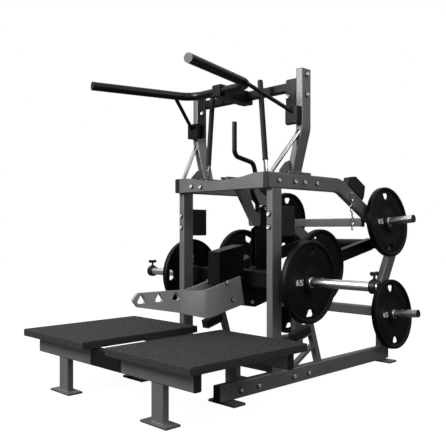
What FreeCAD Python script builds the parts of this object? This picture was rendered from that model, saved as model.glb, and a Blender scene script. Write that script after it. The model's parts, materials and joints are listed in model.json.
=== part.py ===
# Belt squat machine: a bolted frame of steel tube, a forked belt arm that lifts
# weight plates, and a hand lever that swings a catch from under the arm.
# Millimetres. X is across the machine, Y runs from the platform to the rear, Z is up.
import FreeCAD, Part
import math
import os
import Sketcher

SIZES = {
    # Steel tube of the frame
    "tube_wall": 3,
    "tube_corner": 7,
    "cap_thick": 4,
    "plate_thick": 8,
    "fit_gap": 0.3,

    # Base rails on the floor
    "rail_inner_x": 334,
    "rail_wide": 44,
    "rail_tall": 85,
    "rail_under_z": 12,
    "rail_front_y": -388,
    "rail_rear_y": 1170,
    "foot_pad_thick": 4,
    "foot_inner_x": 272,
    "foot_outer_x": 453,
    "foot_long": 80,
    "foot_front_y": -367,
    "foot_rear_y": 1067,
    "foot_bolt_inset": 18,

    # Front uprights and the cross tube between their feet
    "upright_deep": 80,
    "base_cross_deep": 44,
    "base_cross_tall": 85,

    # Side beams on top of the uprights, which slope down behind
    "beam_wide": 38,
    "beam_tall": 85,
    "beam_under_z": 1083,
    "beam_front_y": -27,
    "beam_bend_y": 626,
    "beam_bend_radius": 160,
    "beam_slope": 28.2,
    "beam_slope_long": 787,
    "front_cross_deep": 44,
    "front_cross_sag_half": 280,
    "front_cross_sag_deep": 56,
    "front_cross_sag_radius": 1400,

    # Rear uprights
    "rear_deep": 85,
    "rear_bend_z": 512,
    "rear_bend_radius": 120,
    "rear_lean": 30.4,
    "rear_lower_y": 1070,
    "rear_lower_z": 290,
    "rear_cross_tall": 64,
    "rear_cross_deep": 40,
    "rear_upper_y": 905,
    "rear_upper_z": 880,
    "rear_upper_tall": 54,

    # Masts that carry the handles
    "mast_wide": 44,
    "mast_deep": 80,
    "mast_front_y": 172,
    "mast_splay": 15.6,
    "mast_bend_z": 1410,
    "mast_bend_radius": 110,
    "mast_top_z": 1735,
    "mast_plate_front_y": 140,
    "mast_plate_rear_y": 336,
    "mast_plate_thick": 13,
    "brace_front_y": 16,
    "brace_radius": 12,
    "brace_top_x": 414,
    "brace_top_z": 1388,
    "gusset_front_y": 81,
    "gusset_top_z": 1243,
    "gusset_thick": 6,

    # Handles
    "bracket_inner_x": 328,
    "bracket_thick": 6,
    "bracket_low_z": 1437,
    "bracket_top_z": 1690,
    "clamp_inner_x": 360,
    "clamp_front_y": 127,
    "clamp_low_z": 1437,
    "clamp_tall": 91,
    "crossbar_z": 1650,
    "crossbar_deep": 42,
    "crossbar_tall": 50,
    "saddle_half": 32,
    "saddle_front_y": -50,
    "saddle_rear_y": 202,
    "saddle_low_z": 1600,
    "saddle_top_z": 1683,
    "bar_radius": 24,
    "bar_wall": 3,
    "bar_z": 1648,
    "bar_y": -21,
    "bar_bend_x": 235,
    "bar_tip_x": 396,
    "bar_tip_y": -608,
    "bar_bend_radius": 110,
    "handle_brace_radius": 11,
    "handle_brace_x": 285,
    "handle_brace_y": -104,
    "handle_brace_end_x": 410,
    "handle_brace_end_z": 1495,
    "post_radius": 12,
    "post_foot_x": 243,
    "post_foot_y": 111,
    "post_foot_z": 1118,
    "post_top_x": 191,
    "post_top_z": 1705,
    "post_bare": 130,
    "grip_radius": 16,

    # Standing platform
    "mat_inner_x": 94,
    "mat_wide": 599,
    "mat_front_y": -863,
    "mat_long": 758,
    "mat_thick": 37.5,
    "mat_top_z": 310,
    "mat_chamfer": 5,
    "deck_half_x": 636,
    "deck_beam_wide": 42,
    "deck_beam_tall": 89.5,
    "deck_front_y": -795,
    "deck_rear_y": -187,
    "deck_link_half": 130,
    "leg_wide": 84,
    "leg_deep": 38,
    "front_leg_x": 351,
    "rear_leg_x": 206,
    "leg_foot_wide": 182,
    "leg_foot_deep": 83,
    "leg_foot_thick": 6,
    "tie_wide": 60,

    "slope_pad_start": 72,
    "slope_pad_end": 264,
    "slope_pad_tall": 93,

    # Lower bumpers and upper stops of the arm
    "bumper_front_y": 189,
    "bumper_front_z": 284,
    "bumper_slope": 14.7,
    "bumper_long": 140,
    "bumper_thick": 45,
    "bumper_seat_thick": 8,
    "bumper_post_y": 425,
    "bumper_post_lean": 18.6,
    "bumper_post_top_z": 325,
    "bumper_post_deep": 40,
    "bumper_strut_y": 165,
    "bumper_strut_long": 46,
    "bumper_strut_rise": 110,
    "stop_front_y": 80,
    "stop_deep": 112,
    "stop_low_z": 823,
    "stop_tall": 163,

    # Belt arm
    "arm_pivot_y": 1140,
    "arm_pivot_z": 765,
    "arm_slope": 11.3,
    "shaft_radius": 20,
    "shaft_half": 374,
    "running_gap": 0.05,
    "sleeve_radius": 32,
    "arm_tube_inner_x": 235,
    "arm_tube_wide": 45,
    "arm_tube_tall": 75,
    "cross_y": 189,
    "cross_z": 575,
    "cross_side": 100,
    "cross_half_x": 441,
    "inner_hub_y": 500,
    "nose_plate_thick": 8,
    "nose_flare_half": 66,
    "nose_flare_y": -200,
    "nose_join_y": -319,
    "nose_rear_y": 105,
    "belt_hole_front_y": -583,
    "belt_hole_pitch": 114.5,
    "belt_hole_low_z": 482,
    "belt_hole_tip_z": 533,
    "belt_hole_half": 36,
    "centre_rear_y": 372,
    "centre_top_z": 560,
    "centre_high_z": 590,
    "tower_half": 45,
    "tower_front_y": -68,
    "tower_rear_y": 132,
    "tower_front_z": 735,
    "tower_rear_z": 772,

    # Catch that holds the arm, and its hand lever
    "catch_pivot_y": 130,
    "catch_pivot_z": 1130,
    "catch_pin_radius": 10,
    "catch_half": 14,
    "post_gap": 2,
    "post_plate": 6,
    "block_front_y": 238,
    "block_rear_y": 340,
    "block_low_z": 882,
    "block_top_z": 965,
    "peg_y": 341,
    "peg_z": 988,
    "peg_radius": 22.7,
    "lever_radius": 14,
    "lever_top_z": 1490,
    "lever_y": 101,
    "lever_bend_z": 1292,
    "lever_bend_radius": 42,

    # Weight plates and their horns
    "disc_radius": 225,
    "disc_thick": 38,
    "disc_rim": 16,
    "disc_web": 16,
    "disc_hub_radius": 62,
    "horn_radius": 25,
    "horn_gap": 0.3,
    "outer_disc_x": 459,
    "inner_disc_x": 299,
    "outer_horn_tip_x": 905,
    "inner_horn_tip_x": 372,
    "flange_radius": 55,
    "store_disc_x": 408,
    "store_upper_y": 1080,
    "store_upper_z": 908,
    "store_lower_y": 1140,
    "store_lower_z": 308,
    "store_tip_x": 610,
    "store_tilt": 6,
    "store_hub_radius": 36,
    "store_foot_thick": 12,
    "hand_hole_middle": 167,
    "hand_hole_tall": 50,
    "hand_hole_wide": 84,
    "hand_hole_narrow": 44,
    "collar_radius": 36,
    "collar_long": 36,
    "collar_inset": 8,
    "collar_stem_radius": 8,
    "collar_stem_long": 34,
    "collar_knob_radius": 10,
    "collar_knob_long": 60,

    # Fasteners
    "bolt_head_radius": 11,
    "bolt_head_tall": 12,

    # Chain on the right side beam
    "chain_y": 731,
    "chain_top_z": 1063,
    "chain_peg_radius": 2.5,
    "chain_peg_drop": 4.2,
    "link_long": 50,
    "link_wide": 26,
    "link_thick": 6,
    "link_pitch": 37.1,
}

doc = FreeCAD.newDocument("belt_squat_machine")
sheet = doc.addObject("Spreadsheet::Sheet", "Sizes")
for row, (alias, number) in enumerate(SIZES.items(), start=1):
    sheet.set(f"A{row}", str(number))
    sheet.setAlias(f"A{row}", alias)
doc.recompute()


class Size:
    """A number together with the sheet formula that it comes from."""

    def __init__(self, value, formula):
        self.value = float(value)
        self.formula = formula

    def __add__(self, other):
        other = size(other)
        return Size(self.value + other.value, f"({self.formula} + {other.formula})")

    def __sub__(self, other):
        other = size(other)
        return Size(self.value - other.value, f"({self.formula} - {other.formula})")

    def __mul__(self, other):
        other = size(other)
        return Size(self.value * other.value, f"({self.formula} * {other.formula})")

    def __truediv__(self, other):
        other = size(other)
        return Size(self.value / other.value, f"({self.formula} / {other.formula})")

    def __neg__(self):
        return Size(-self.value, f"(-1 * {self.formula})")

    __radd__ = __add__
    __rmul__ = __mul__

    def __rsub__(self, other):
        return size(other) - self


def size(number):
    return number if isinstance(number, Size) else Size(number, f"({float(number)})")


def sine(angle):
    return Size(math.sin(math.radians(angle.value)), f"sin({angle.formula})")


def cosine(angle):
    return Size(math.cos(math.radians(angle.value)), f"cos({angle.formula})")


def tangent(angle):
    return Size(math.tan(math.radians(angle.value)), f"tan({angle.formula})")


def root(square):
    return Size(math.sqrt(square.value), f"sqrt({square.formula})")


class Named:
    """Every size of the sheet by its own name."""


S = Named()
for alias, number in SIZES.items():
    setattr(S, alias, Size(number, f"Sizes.{alias}"))


def bind(thing, field, number):
    thing.setExpression(field, size(number).formula)


# Sketches and features

NORMAL = {"XY_Plane": 1, "XZ_Plane": -1, "YZ_Plane": 1}
ACROSS = {"X": "YZ_Plane", "Y": "XZ_Plane", "Z": "XY_Plane"}


def new_body(label):
    body = doc.addObject("PartDesign::Body", label)
    body.Label = label
    return body


def new_sketch(body, role, offset=0):
    sketch = body.newObject("Sketcher::SketchObject", body.Name + "_sketch")
    datum = [item for item in body.Origin.OriginFeatures if item.Role == role][0]
    sketch.AttachmentSupport = (datum, "")
    sketch.MapMode = "FlatFace"
    bind(sketch, "AttachmentOffset.Base.z", size(offset) * NORMAL[role])
    return sketch


def fix_point(sketch, item, end, across, up):
    for kind, number in (("DistanceX", across), ("DistanceY", up)):
        number = size(number)
        index = sketch.addConstraint(Sketcher.Constraint(kind, item, end, number.value))
        sketch.setExpression(f"Constraints[{index}]", number.formula)


def draw(sketch, corners, closed=True):
    """Straight sides through the corners; a corner's third value rounds it."""
    spots = [FreeCAD.Vector(size(c[0]).value, size(c[1]).value, 0) for c in corners]
    count = len(spots)
    starts = list(spots)
    ends = list(spots)
    rounded = {}
    for i, corner in enumerate(corners):
        if len(corner) < 3:
            continue
        before = (spots[i] - spots[i - 1]).normalize()
        after = (spots[(i + 1) % count] - spots[i]).normalize()
        turn = before.getAngle(after)
        reach = size(corner[2]).value * math.tan(turn / 2)
        ends[i] = spots[i] - before * reach
        starts[i] = spots[i] + after * reach
        left = before.x * after.y - before.y * after.x > 0
        rounded[i] = (before, left, turn)
    sides = []
    for i in range(count if closed else count - 1):
        line = Part.LineSegment(starts[i], ends[(i + 1) % count])
        sides.append(sketch.addGeometry(line))
    for i, corner in enumerate(corners):
        into = sides[i - 1] if closed or i > 0 else None
        out = sides[i] if i < len(sides) else None
        if i in rounded:
            before, left, turn = rounded[i]
            radius = size(corner[2])
            sideways = FreeCAD.Vector(-before.y, before.x, 0) * (1 if left else -1)
            centre = ends[i] + sideways * radius.value
            first = ends[i] if left else starts[i]
            begin = math.atan2(first.y - centre.y, first.x - centre.x)
            circle = Part.Circle(centre, FreeCAD.Vector(0, 0, 1), radius.value)
            arc = sketch.addGeometry(Part.ArcOfCircle(circle, begin, begin + turn))
            near, far = (1, 2) if left else (2, 1)
            sketch.addConstraint(Sketcher.Constraint("Tangent", into, 2, arc, near))
            sketch.addConstraint(Sketcher.Constraint("Tangent", arc, far, out, 1))
            index = sketch.addConstraint(Sketcher.Constraint("Radius", arc, radius.value))
            sketch.setExpression(f"Constraints[{index}]", radius.formula)
            point = sketch.addGeometry(Part.Point(spots[i]), True)
            sketch.addConstraint(Sketcher.Constraint("PointOnObject", point, 1, into))
            sketch.addConstraint(Sketcher.Constraint("PointOnObject", point, 1, out))
            fix_point(sketch, point, 1, corner[0], corner[1])
        else:
            if into is not None and out is not None:
                sketch.addConstraint(Sketcher.Constraint("Coincident", into, 2, out, 1))
            if out is not None:
                fix_point(sketch, out, 1, corner[0], corner[1])
            else:
                fix_point(sketch, into, 2, corner[0], corner[1])


def circle(sketch, across, up, radius):
    spot = FreeCAD.Vector(size(across).value, size(up).value, 0)
    item = sketch.addGeometry(Part.Circle(spot, FreeCAD.Vector(0, 0, 1), size(radius).value))
    index = sketch.addConstraint(Sketcher.Constraint("Radius", item, size(radius).value))
    sketch.setExpression(f"Constraints[{index}]", size(radius).formula)
    fix_point(sketch, item, 3, across, up)


def rectangle(low_a, high_a, low_b, high_b, corner=None):
    spots = [(low_a, low_b), (high_a, low_b), (high_a, high_b), (low_a, high_b)]
    return [spot if corner is None else (*spot, corner) for spot in spots]


def outline(sketch, loops):
    for loop in loops:
        if loop[0] == "circle":
            circle(sketch, *loop[1:])
        else:
            draw(sketch, loop)


def pad(body, role, low, high, loops):
    """A pad of the loops between two places along the plane's normal."""
    sketch = new_sketch(body, role, high if role == "XZ_Plane" else low)
    outline(sketch, loops)
    feature = body.newObject("PartDesign::Pad", body.Name + "_pad")
    feature.Profile = sketch
    bind(feature, "Length", size(high) - low)
    sketch.Visibility = False
    return feature


def pocket(body, role, low, high, loops):
    """Cuts the loops away between two places along the plane's normal."""
    sketch = new_sketch(body, role, low if role == "XZ_Plane" else high)
    outline(sketch, loops)
    feature = body.newObject("PartDesign::Pocket", body.Name + "_pocket")
    feature.Profile = sketch
    bind(feature, "Length", size(high) - low)
    sketch.Visibility = False
    return feature


def prism(label, role, low, high, loops):
    body = new_body(label)
    pad(body, role, low, high, loops)
    return body


def box_tube(label, along, low, high, low_a, high_a, low_b, high_b):
    """Square tube along an axis, open at both ends, with rounded corners."""
    wall = S.tube_wall
    outer = rectangle(low_a, high_a, low_b, high_b, S.tube_corner)
    inner = rectangle(size(low_a) + wall, size(high_a) - wall, size(low_b) + wall,
                      size(high_b) - wall, S.tube_corner - wall)
    return prism(label, ACROSS[along], low, high, [outer, inner])


def span(side, inner, outer):
    """Low and high X of a piece on the right (1) or the left (-1)."""
    return (size(inner), size(outer)) if side > 0 else (-size(outer), -size(inner))


def step(point, angle, distance):
    """A point moved by a distance at an angle, in the plane of a side view."""
    distance = size(distance)
    return (point[0] + distance * cosine(angle), point[1] + distance * sine(angle))


def band(start, bend, end, first, second, half, radius):
    """Outline of a bent strip about its centre line, in the side view."""
    middle = (first + second) / 2 + 90
    reach = half / cosine((second - first) / 2)
    bends_left = second.value > first.value
    left = radius - half if bends_left else radius + half
    right = radius + half if bends_left else radius - half
    return [
        step(start, first + 90, half),
        (*step(bend, middle, reach), left),
        step(end, second + 90, half),
        step(end, second + 90, -half),
        (*step(bend, middle, -reach), right),
        step(start, first + 90, -half),
    ]


def bent_tube(label, role, low, high, start, bend, end, first, second, deep, radius):
    """Tube bent once in a plane, hollow and open at both ends."""
    body = new_body(label)
    wall = S.tube_wall
    outer = pad(body, role, low, high,
                [band(start, bend, end, first, second, deep / 2, radius)])
    doc.recompute()
    long_edges = []
    for number, edge in enumerate(outer.Shape.Edges, start=1):
        box = edge.BoundBox
        flat = (box.XLength if role == "YZ_Plane" else box.YLength) < 0.001
        across = abs(edge.Length - deep.value) < 0.01 and len(edge.Vertexes) == 2
        if flat and not across:
            long_edges.append(f"Edge{number}")
    rounding = body.newObject("PartDesign::Fillet", body.Name + "_fillet")
    rounding.Base = (outer, long_edges)
    bind(rounding, "Radius", S.tube_corner)
    past_start = step(start, first, -2)
    past_end = step(end, second, 2)
    pocket(body, role, size(low) + wall, size(high) - wall,
           [band(past_start, bend, past_end, first, second, deep / 2 - wall, radius)])
    return body


def place(thing, x, y, z, axis=(0, 0, 1), angle=0):
    spot = "; ".join(size(v).formula for v in (x, y, z))
    turn = "; ".join(size(v).formula for v in axis)
    thing.setExpression("Placement", f"placement(vector({spot}); "
                                     f"rotation(vector({turn}); {size(angle).formula}))")


def rod(label, start, end, radius):
    """Round bar between two points."""
    dx, dy, dz = [size(b) - size(a) for a, b in zip(start, end)]
    length = root(dx * dx + dy * dy + dz * dz)
    tilt = Size(math.degrees(math.acos(dz.value / length.value)),
                f"acos({dz.formula} / {length.formula})")
    bar = doc.addObject("Part::Cylinder", label)
    bind(bar, "Radius", radius)
    bind(bar, "Height", length)
    place(bar, *start, (-dy, dx, 0), tilt)
    return bar


def block(label, low, high):
    """Plain box between two corners."""
    box = doc.addObject("Part::Box", label)
    for field, a, b in zip(("Length", "Width", "Height"), low, high):
        bind(box, field, size(b) - a)
    place(box, *low)
    return box


def disc(label, axis, x, y, z, radius, length):
    """Round bar along an axis, from a point."""
    turns = {"X": ((0, 1, 0), 90), "-X": ((0, 1, 0), -90), "Y": ((1, 0, 0), -90),
             "-Y": ((1, 0, 0), 90), "Z": ((0, 0, 1), 0), "-Z": ((1, 0, 0), 180)}
    bar = doc.addObject("Part::Cylinder", label)
    bind(bar, "Radius", radius)
    bind(bar, "Height", length)
    place(bar, x, y, z, *turns[axis])
    return bar


def group(label, members):
    """Several separate solids in one node."""
    whole = doc.addObject("Part::Compound", label)
    whole.Label = label
    whole.Links = members
    return whole


def fuse(label, members):
    whole = doc.addObject("Part::MultiFuse", label)
    whole.Label = label
    whole.Shapes = members
    whole.Refine = True
    return whole


def cut(label, base, tool):
    whole = doc.addObject("Part::Cut", label)
    whole.Label = label
    whole.Base = base
    whole.Tool = tool
    return whole


NODES = []


def node(thing):
    """Marks a finished piece, which its label names, and moves it to the frame's origin."""
    if any(field == "Placement" for field, formula in thing.ExpressionEngine):
        label = thing.Label
        thing.Label = label + "_piece"
        thing = group(label, [thing])
    bind(thing, "Placement.Base.y", -origin_y)
    NODES.append(thing)
    return thing


SIDES = (("right", 1), ("left", -1))

# Heights and places that follow from the sizes. All are drawn from the front face of
# the uprights, and origin_y is the middle of the whole machine, where its frame starts.
origin_y = (S.mat_front_y + S.store_lower_y + S.disc_radius) / 2
rail_outer_x = S.rail_inner_x + S.rail_wide
rail_top_z = S.rail_under_z + S.rail_tall
beam_top_z = S.beam_under_z + S.beam_tall
beam_inner_x = rail_outer_x - S.beam_wide
beam_outer_x = rail_outer_x


# Base rails, their caps and feet

rails = []
rail_caps = []
for name, side in SIDES:
    low_x, high_x = span(side, S.rail_inner_x, rail_outer_x)
    rails.append(box_tube(f"base_rail_{name}", "Y", S.rail_front_y, S.rail_rear_y,
                          low_x, high_x, S.rail_under_z, rail_top_z))
    for end, low_y in (("front", S.rail_front_y - S.cap_thick), ("rear", S.rail_rear_y)):
        rail_caps.append(prism(f"rail_cap_{end}_{name}", "XZ_Plane", low_y,
                               low_y + S.cap_thick,
                               [rectangle(low_x, high_x, S.rail_under_z, rail_top_z,
                                          S.tube_corner)]))
node(group("base_rails", rails))

foot_plates = []
foot_pads = []
for name, side in SIDES:
    low_x, high_x = span(side, S.foot_inner_x, S.foot_outer_x)
    for end, front_y in (("front", S.foot_front_y), ("rear", S.foot_rear_y)):
        rear_y = front_y + S.foot_long
        shape = rectangle(low_x, high_x, front_y, rear_y)
        holes = [("circle", x, (front_y + rear_y) / 2, S.bolt_head_radius / 2)
                 for x in (low_x + S.foot_bolt_inset, high_x - S.foot_bolt_inset)]
        foot_plates.append(prism(f"foot_plate_{end}_{name}", "XY_Plane", S.foot_pad_thick,
                                 S.rail_under_z, [shape, *holes]))
        foot_pads.append(prism(f"foot_pad_{end}_{name}", "XY_Plane", 0,
                               S.foot_pad_thick, [shape, *holes]))


# Front uprights and the cross tube between their feet

uprights = []
for name, side in SIDES:
    low_x, high_x = span(side, S.rail_inner_x, rail_outer_x)
    uprights.append(box_tube(f"upright_{name}", "Z", rail_top_z, S.beam_under_z,
                             low_x, high_x, 0, S.upright_deep))
node(group("front_uprights", uprights))
node(box_tube("base_cross_tube", "X", -S.rail_inner_x, S.rail_inner_x,
              0, S.base_cross_deep, rail_top_z, rail_top_z + S.base_cross_tall))


# Side beams with their caps, and the sagging cross beam between their fronts

beam_mid_z = S.beam_under_z + S.beam_tall / 2
level = size(0)
beam_start = (S.beam_front_y, beam_mid_z)
beam_bend = (S.beam_bend_y, beam_mid_z)
beam_end = step(beam_bend, -S.beam_slope, S.beam_slope_long)
side_beams = []
beam_caps = []
for name, side in SIDES:
    low_x, high_x = span(side, beam_inner_x, beam_outer_x)
    side_beams.append(bent_tube(f"side_beam_{name}", "YZ_Plane", low_x, high_x,
                                beam_start, beam_bend, beam_end, level, -S.beam_slope,
                                S.beam_tall, S.beam_bend_radius))
    front = new_body(f"beam_cap_front_{name}")
    pad(front, "XZ_Plane", S.beam_front_y - S.cap_thick, S.beam_front_y,
        [rectangle(low_x, high_x, S.beam_under_z, beam_top_z, S.tube_corner)])
    outer_end = step(beam_end, -S.beam_slope, S.cap_thick)
    rear = prism(f"beam_cap_rear_{name}", "YZ_Plane", low_x, high_x,
                 [[step(beam_end, 90 - S.beam_slope, S.beam_tall / 2),
                   step(beam_end, 90 - S.beam_slope, -S.beam_tall / 2),
                   step(outer_end, 90 - S.beam_slope, -S.beam_tall / 2),
                   step(outer_end, 90 - S.beam_slope, S.beam_tall / 2)]])
    beam_caps += [front, rear]
node(group("side_beams", side_beams))

front_cross = new_body("front_cross_beam")
cross_face_y = S.beam_front_y - S.cap_thick
cross_back_y = cross_face_y + S.front_cross_deep


def sagging(inset):
    half = beam_inner_x - inset
    low, high = S.beam_under_z + inset, beam_top_z - inset
    return [(-half, low), (half, low), (half, high), (S.front_cross_sag_half, high),
            (0, high - S.front_cross_sag_deep, S.front_cross_sag_radius),
            (-S.front_cross_sag_half, high), (-half, high)]


pad(front_cross, "XZ_Plane", cross_face_y, cross_back_y, [sagging(size(0))])
pocket(front_cross, "XZ_Plane", cross_face_y + S.tube_wall, cross_back_y - S.tube_wall,
       [sagging(S.tube_wall)])
node(front_cross)


# Rear uprights and the rails between them

rear_mid_y = S.rail_rear_y - S.rear_deep / 2
rear_start = (rear_mid_y, rail_top_z)
rear_bend = (rear_mid_y, S.rear_bend_z)
upright_angle = size(90)
lean_angle = 90 - S.rear_lean
# The leaning part ends on the underside of the side beam's slope.
under_beam = step(beam_bend, 90 - S.beam_slope, -S.beam_tall / 2)
drop = ((under_beam[0] - rear_bend[0]) * sine(S.beam_slope)
        + (under_beam[1] - rear_bend[1]) * cosine(S.beam_slope))
lean_long = drop / (cosine(lean_angle) * sine(S.beam_slope)
                    + sine(lean_angle) * cosine(S.beam_slope))
rear_end = step(rear_bend, lean_angle, lean_long + 3)
beam_line = [step(under_beam, -S.beam_slope, 0), step(under_beam, -S.beam_slope, 900)]
over_line = [step(spot, 90 - S.beam_slope, S.beam_tall) for spot in beam_line]
rear_uprights = []
for name, side in SIDES:
    low_x, high_x = span(side, S.rail_inner_x, rail_outer_x)
    tube = bent_tube(f"rear_upright_{name}", "YZ_Plane", low_x, high_x, rear_start,
                     rear_bend, rear_end, upright_angle, lean_angle, S.rear_deep,
                     S.rear_bend_radius)
    pocket(tube, "YZ_Plane", low_x - 1, high_x + 1, [beam_line + over_line[::-1]])
    rear_uprights.append(tube)
node(group("rear_uprights", rear_uprights))
node(box_tube("rear_lower_rail", "X", -S.rail_inner_x, S.rail_inner_x,
              S.rear_lower_y + 15, S.rear_lower_y + 15 + S.rear_cross_deep,
              S.rear_lower_z, S.rear_lower_z + S.rear_cross_tall))
node(box_tube("rear_upper_rail", "X", -beam_inner_x, beam_inner_x,
              S.rear_upper_y, S.rear_upper_y + S.rear_cross_deep,
              S.rear_upper_z, S.rear_upper_z + S.rear_upper_tall))


# Masts on the side beams, splayed outward, with foot plates, caps, braces and gussets

mast_plate_top_z = beam_top_z + S.mast_plate_thick
mast_foot_x = (S.rail_inner_x + rail_outer_x) / 2
mast_head_x = mast_foot_x + (S.mast_bend_z - mast_plate_top_z) * tangent(S.mast_splay)
mast_inner_x = mast_head_x - S.mast_wide / 2
mast_outer_x = mast_head_x + S.mast_wide / 2
mast_rear_y = S.mast_front_y + S.mast_deep
masts = []
mast_plates = []
mast_caps = []
mast_braces = []
mast_gussets = []
for name, side in SIDES:
    foot_x = mast_foot_x * side
    head_x = mast_head_x * side
    lean = 90 - S.mast_splay * side
    # The tube starts below its plate and is cut level with the top of it.
    start = step((foot_x, mast_plate_top_z), lean,
                 -S.mast_wide / 2 * tangent(S.mast_splay) - 1)
    tube = bent_tube(f"mast_{name}", "XZ_Plane", S.mast_front_y, mast_rear_y, start,
                     (head_x, S.mast_bend_z), (head_x, S.mast_top_z), lean, size(90),
                     S.mast_wide, S.mast_bend_radius)
    pocket(tube, "XZ_Plane", S.mast_front_y - 1, mast_rear_y + 1,
           [rectangle(foot_x - S.mast_deep, foot_x + S.mast_deep, S.beam_under_z,
                      mast_plate_top_z)])
    masts.append(tube)
    plate_low_x, plate_high_x = span(side, S.rail_inner_x - 8, rail_outer_x)
    mast_plates.append(prism(f"mast_plate_{name}", "XY_Plane", beam_top_z, mast_plate_top_z,
                             [rectangle(plate_low_x, plate_high_x, S.mast_plate_front_y,
                                        S.mast_plate_rear_y)]))
    low_x, high_x = span(side, mast_inner_x, mast_outer_x)
    mast_caps.append(prism(f"mast_cap_{name}", "XY_Plane", S.mast_top_z,
                           S.mast_top_z + S.cap_thick,
                           [rectangle(low_x, high_x, S.mast_front_y, mast_rear_y,
                                      S.tube_corner)]))
    # The brace runs a little past both seats and is cut flush with them.
    brace_foot = (foot_x, S.brace_front_y, beam_top_z)
    brace_head = (S.brace_top_x * side, S.mast_front_y, S.brace_top_z)
    past_foot = [a - (b - a) * 0.07 for a, b in zip(brace_foot, brace_head)]
    past_head = [b + (b - a) * 0.07 for a, b in zip(brace_foot, brace_head)]
    brace = rod(f"mast_brace_bar_{name}", past_foot, past_head, S.brace_radius)
    beam_seat = block(f"mast_brace_foot_{name}", (foot_x - 40, -60, S.beam_under_z),
                      (foot_x + 40, 100, beam_top_z))
    mast_seat = block(f"mast_brace_head_{name}",
                      (brace_head[0] - 40, S.mast_front_y, S.mast_bend_z - 100),
                      (brace_head[0] + 40, mast_rear_y, S.mast_bend_z + 100))
    seats = fuse(f"mast_brace_seats_{name}", [beam_seat, mast_seat])
    mast_braces.append(cut(f"mast_brace_{name}", brace, seats))
    half = S.gusset_thick / 2
    mast_gussets.append(prism(f"mast_gusset_{name}", "YZ_Plane", foot_x - half, foot_x + half,
                              [[(S.gusset_front_y, beam_top_z),
                                (S.mast_plate_front_y, beam_top_z),
                                (S.mast_plate_front_y, mast_plate_top_z),
                                (S.mast_front_y, mast_plate_top_z),
                                (S.mast_front_y, S.gusset_top_z),
                                (S.gusset_front_y + 50, S.gusset_top_z - 14, size(30)),
                                (S.gusset_front_y, beam_top_z + 14, size(12))]]))
node(group("masts", masts))
node(group("mast_foot_plates", mast_plates + mast_gussets))
node(group("mast_braces", mast_braces))


# Handle brackets on the masts, clamp blocks before them and the crossbar behind

brackets = []
clamps = []
for name, side in SIDES:
    brackets.append(prism(f"handle_bracket_{name}", "XZ_Plane", S.mast_front_y,
                          S.mast_front_y + S.bracket_thick,
                          [[(S.bracket_inner_x * side, S.bracket_low_z, size(10)),
                            (mast_inner_x * side, S.bracket_low_z),
                            (mast_inner_x * side, S.bracket_top_z),
                            (S.bracket_inner_x * side, S.bracket_top_z, size(10))]]))
    low_x, high_x = span(side, S.clamp_inner_x, mast_outer_x)
    clamps.append(prism(f"clamp_block_{name}", "XY_Plane", S.clamp_low_z,
                        S.clamp_low_z + S.clamp_tall,
                        [rectangle(low_x, high_x, S.clamp_front_y, S.mast_front_y)]))
node(group("handle_mounts", brackets + clamps))
crossbar_y = S.mast_front_y + S.bracket_thick
node(box_tube("handle_crossbar", "X", -mast_inner_x, mast_inner_x,
              crossbar_y, crossbar_y + S.crossbar_deep,
              S.crossbar_z - S.crossbar_tall / 2, S.crossbar_z + S.crossbar_tall / 2))

saddle = new_body("handle_saddle")
pad(saddle, "YZ_Plane", -S.saddle_half, S.saddle_half,
    [[(S.saddle_front_y, S.saddle_low_z + 14, size(6)), (S.bar_y + 60, S.saddle_low_z + 14),
      (crossbar_y - 12, S.saddle_low_z), (S.saddle_rear_y + 22, S.saddle_low_z, size(6)),
      (S.saddle_rear_y + 22, S.saddle_top_z - 6, size(6)),
      (S.saddle_front_y, S.saddle_top_z, size(6))]])
pocket(saddle, "YZ_Plane", -S.saddle_half - 1, S.saddle_half + 1,
       [rectangle(crossbar_y, crossbar_y + S.crossbar_deep,
                  S.crossbar_z - S.crossbar_tall / 2, S.crossbar_z + S.crossbar_tall / 2,
                  S.tube_corner), ("circle", S.bar_y, S.bar_z, S.bar_radius)])
node(saddle)


# Bullhorn bar, its end caps and the two braces that carry its arms

bar = new_body("handle_bar")
section = new_sketch(bar, "YZ_Plane", 0)
outline(section, [("circle", S.bar_y, S.bar_z, S.bar_radius),
                  ("circle", S.bar_y, S.bar_z, S.bar_radius - S.bar_wall)])
route = new_sketch(bar, "XY_Plane", S.bar_z)
draw(route, [(0, S.bar_y), (S.bar_bend_x, S.bar_y, S.bar_bend_radius),
             (S.bar_tip_x, S.bar_tip_y)], closed=False)
sweep = bar.newObject("PartDesign::AdditivePipe", "handle_bar_sweep")
sweep.Profile = section
sweep.Spine = (route, [])
doc.recompute()
other_half = bar.newObject("PartDesign::Mirrored", "handle_bar_mirror")
other_half.Originals = [sweep]
other_half.MirrorPlane = ([item for item in bar.Origin.OriginFeatures
                           if item.Role == "YZ_Plane"][0], [""])
bar.Tip = other_half
node(bar)

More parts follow.
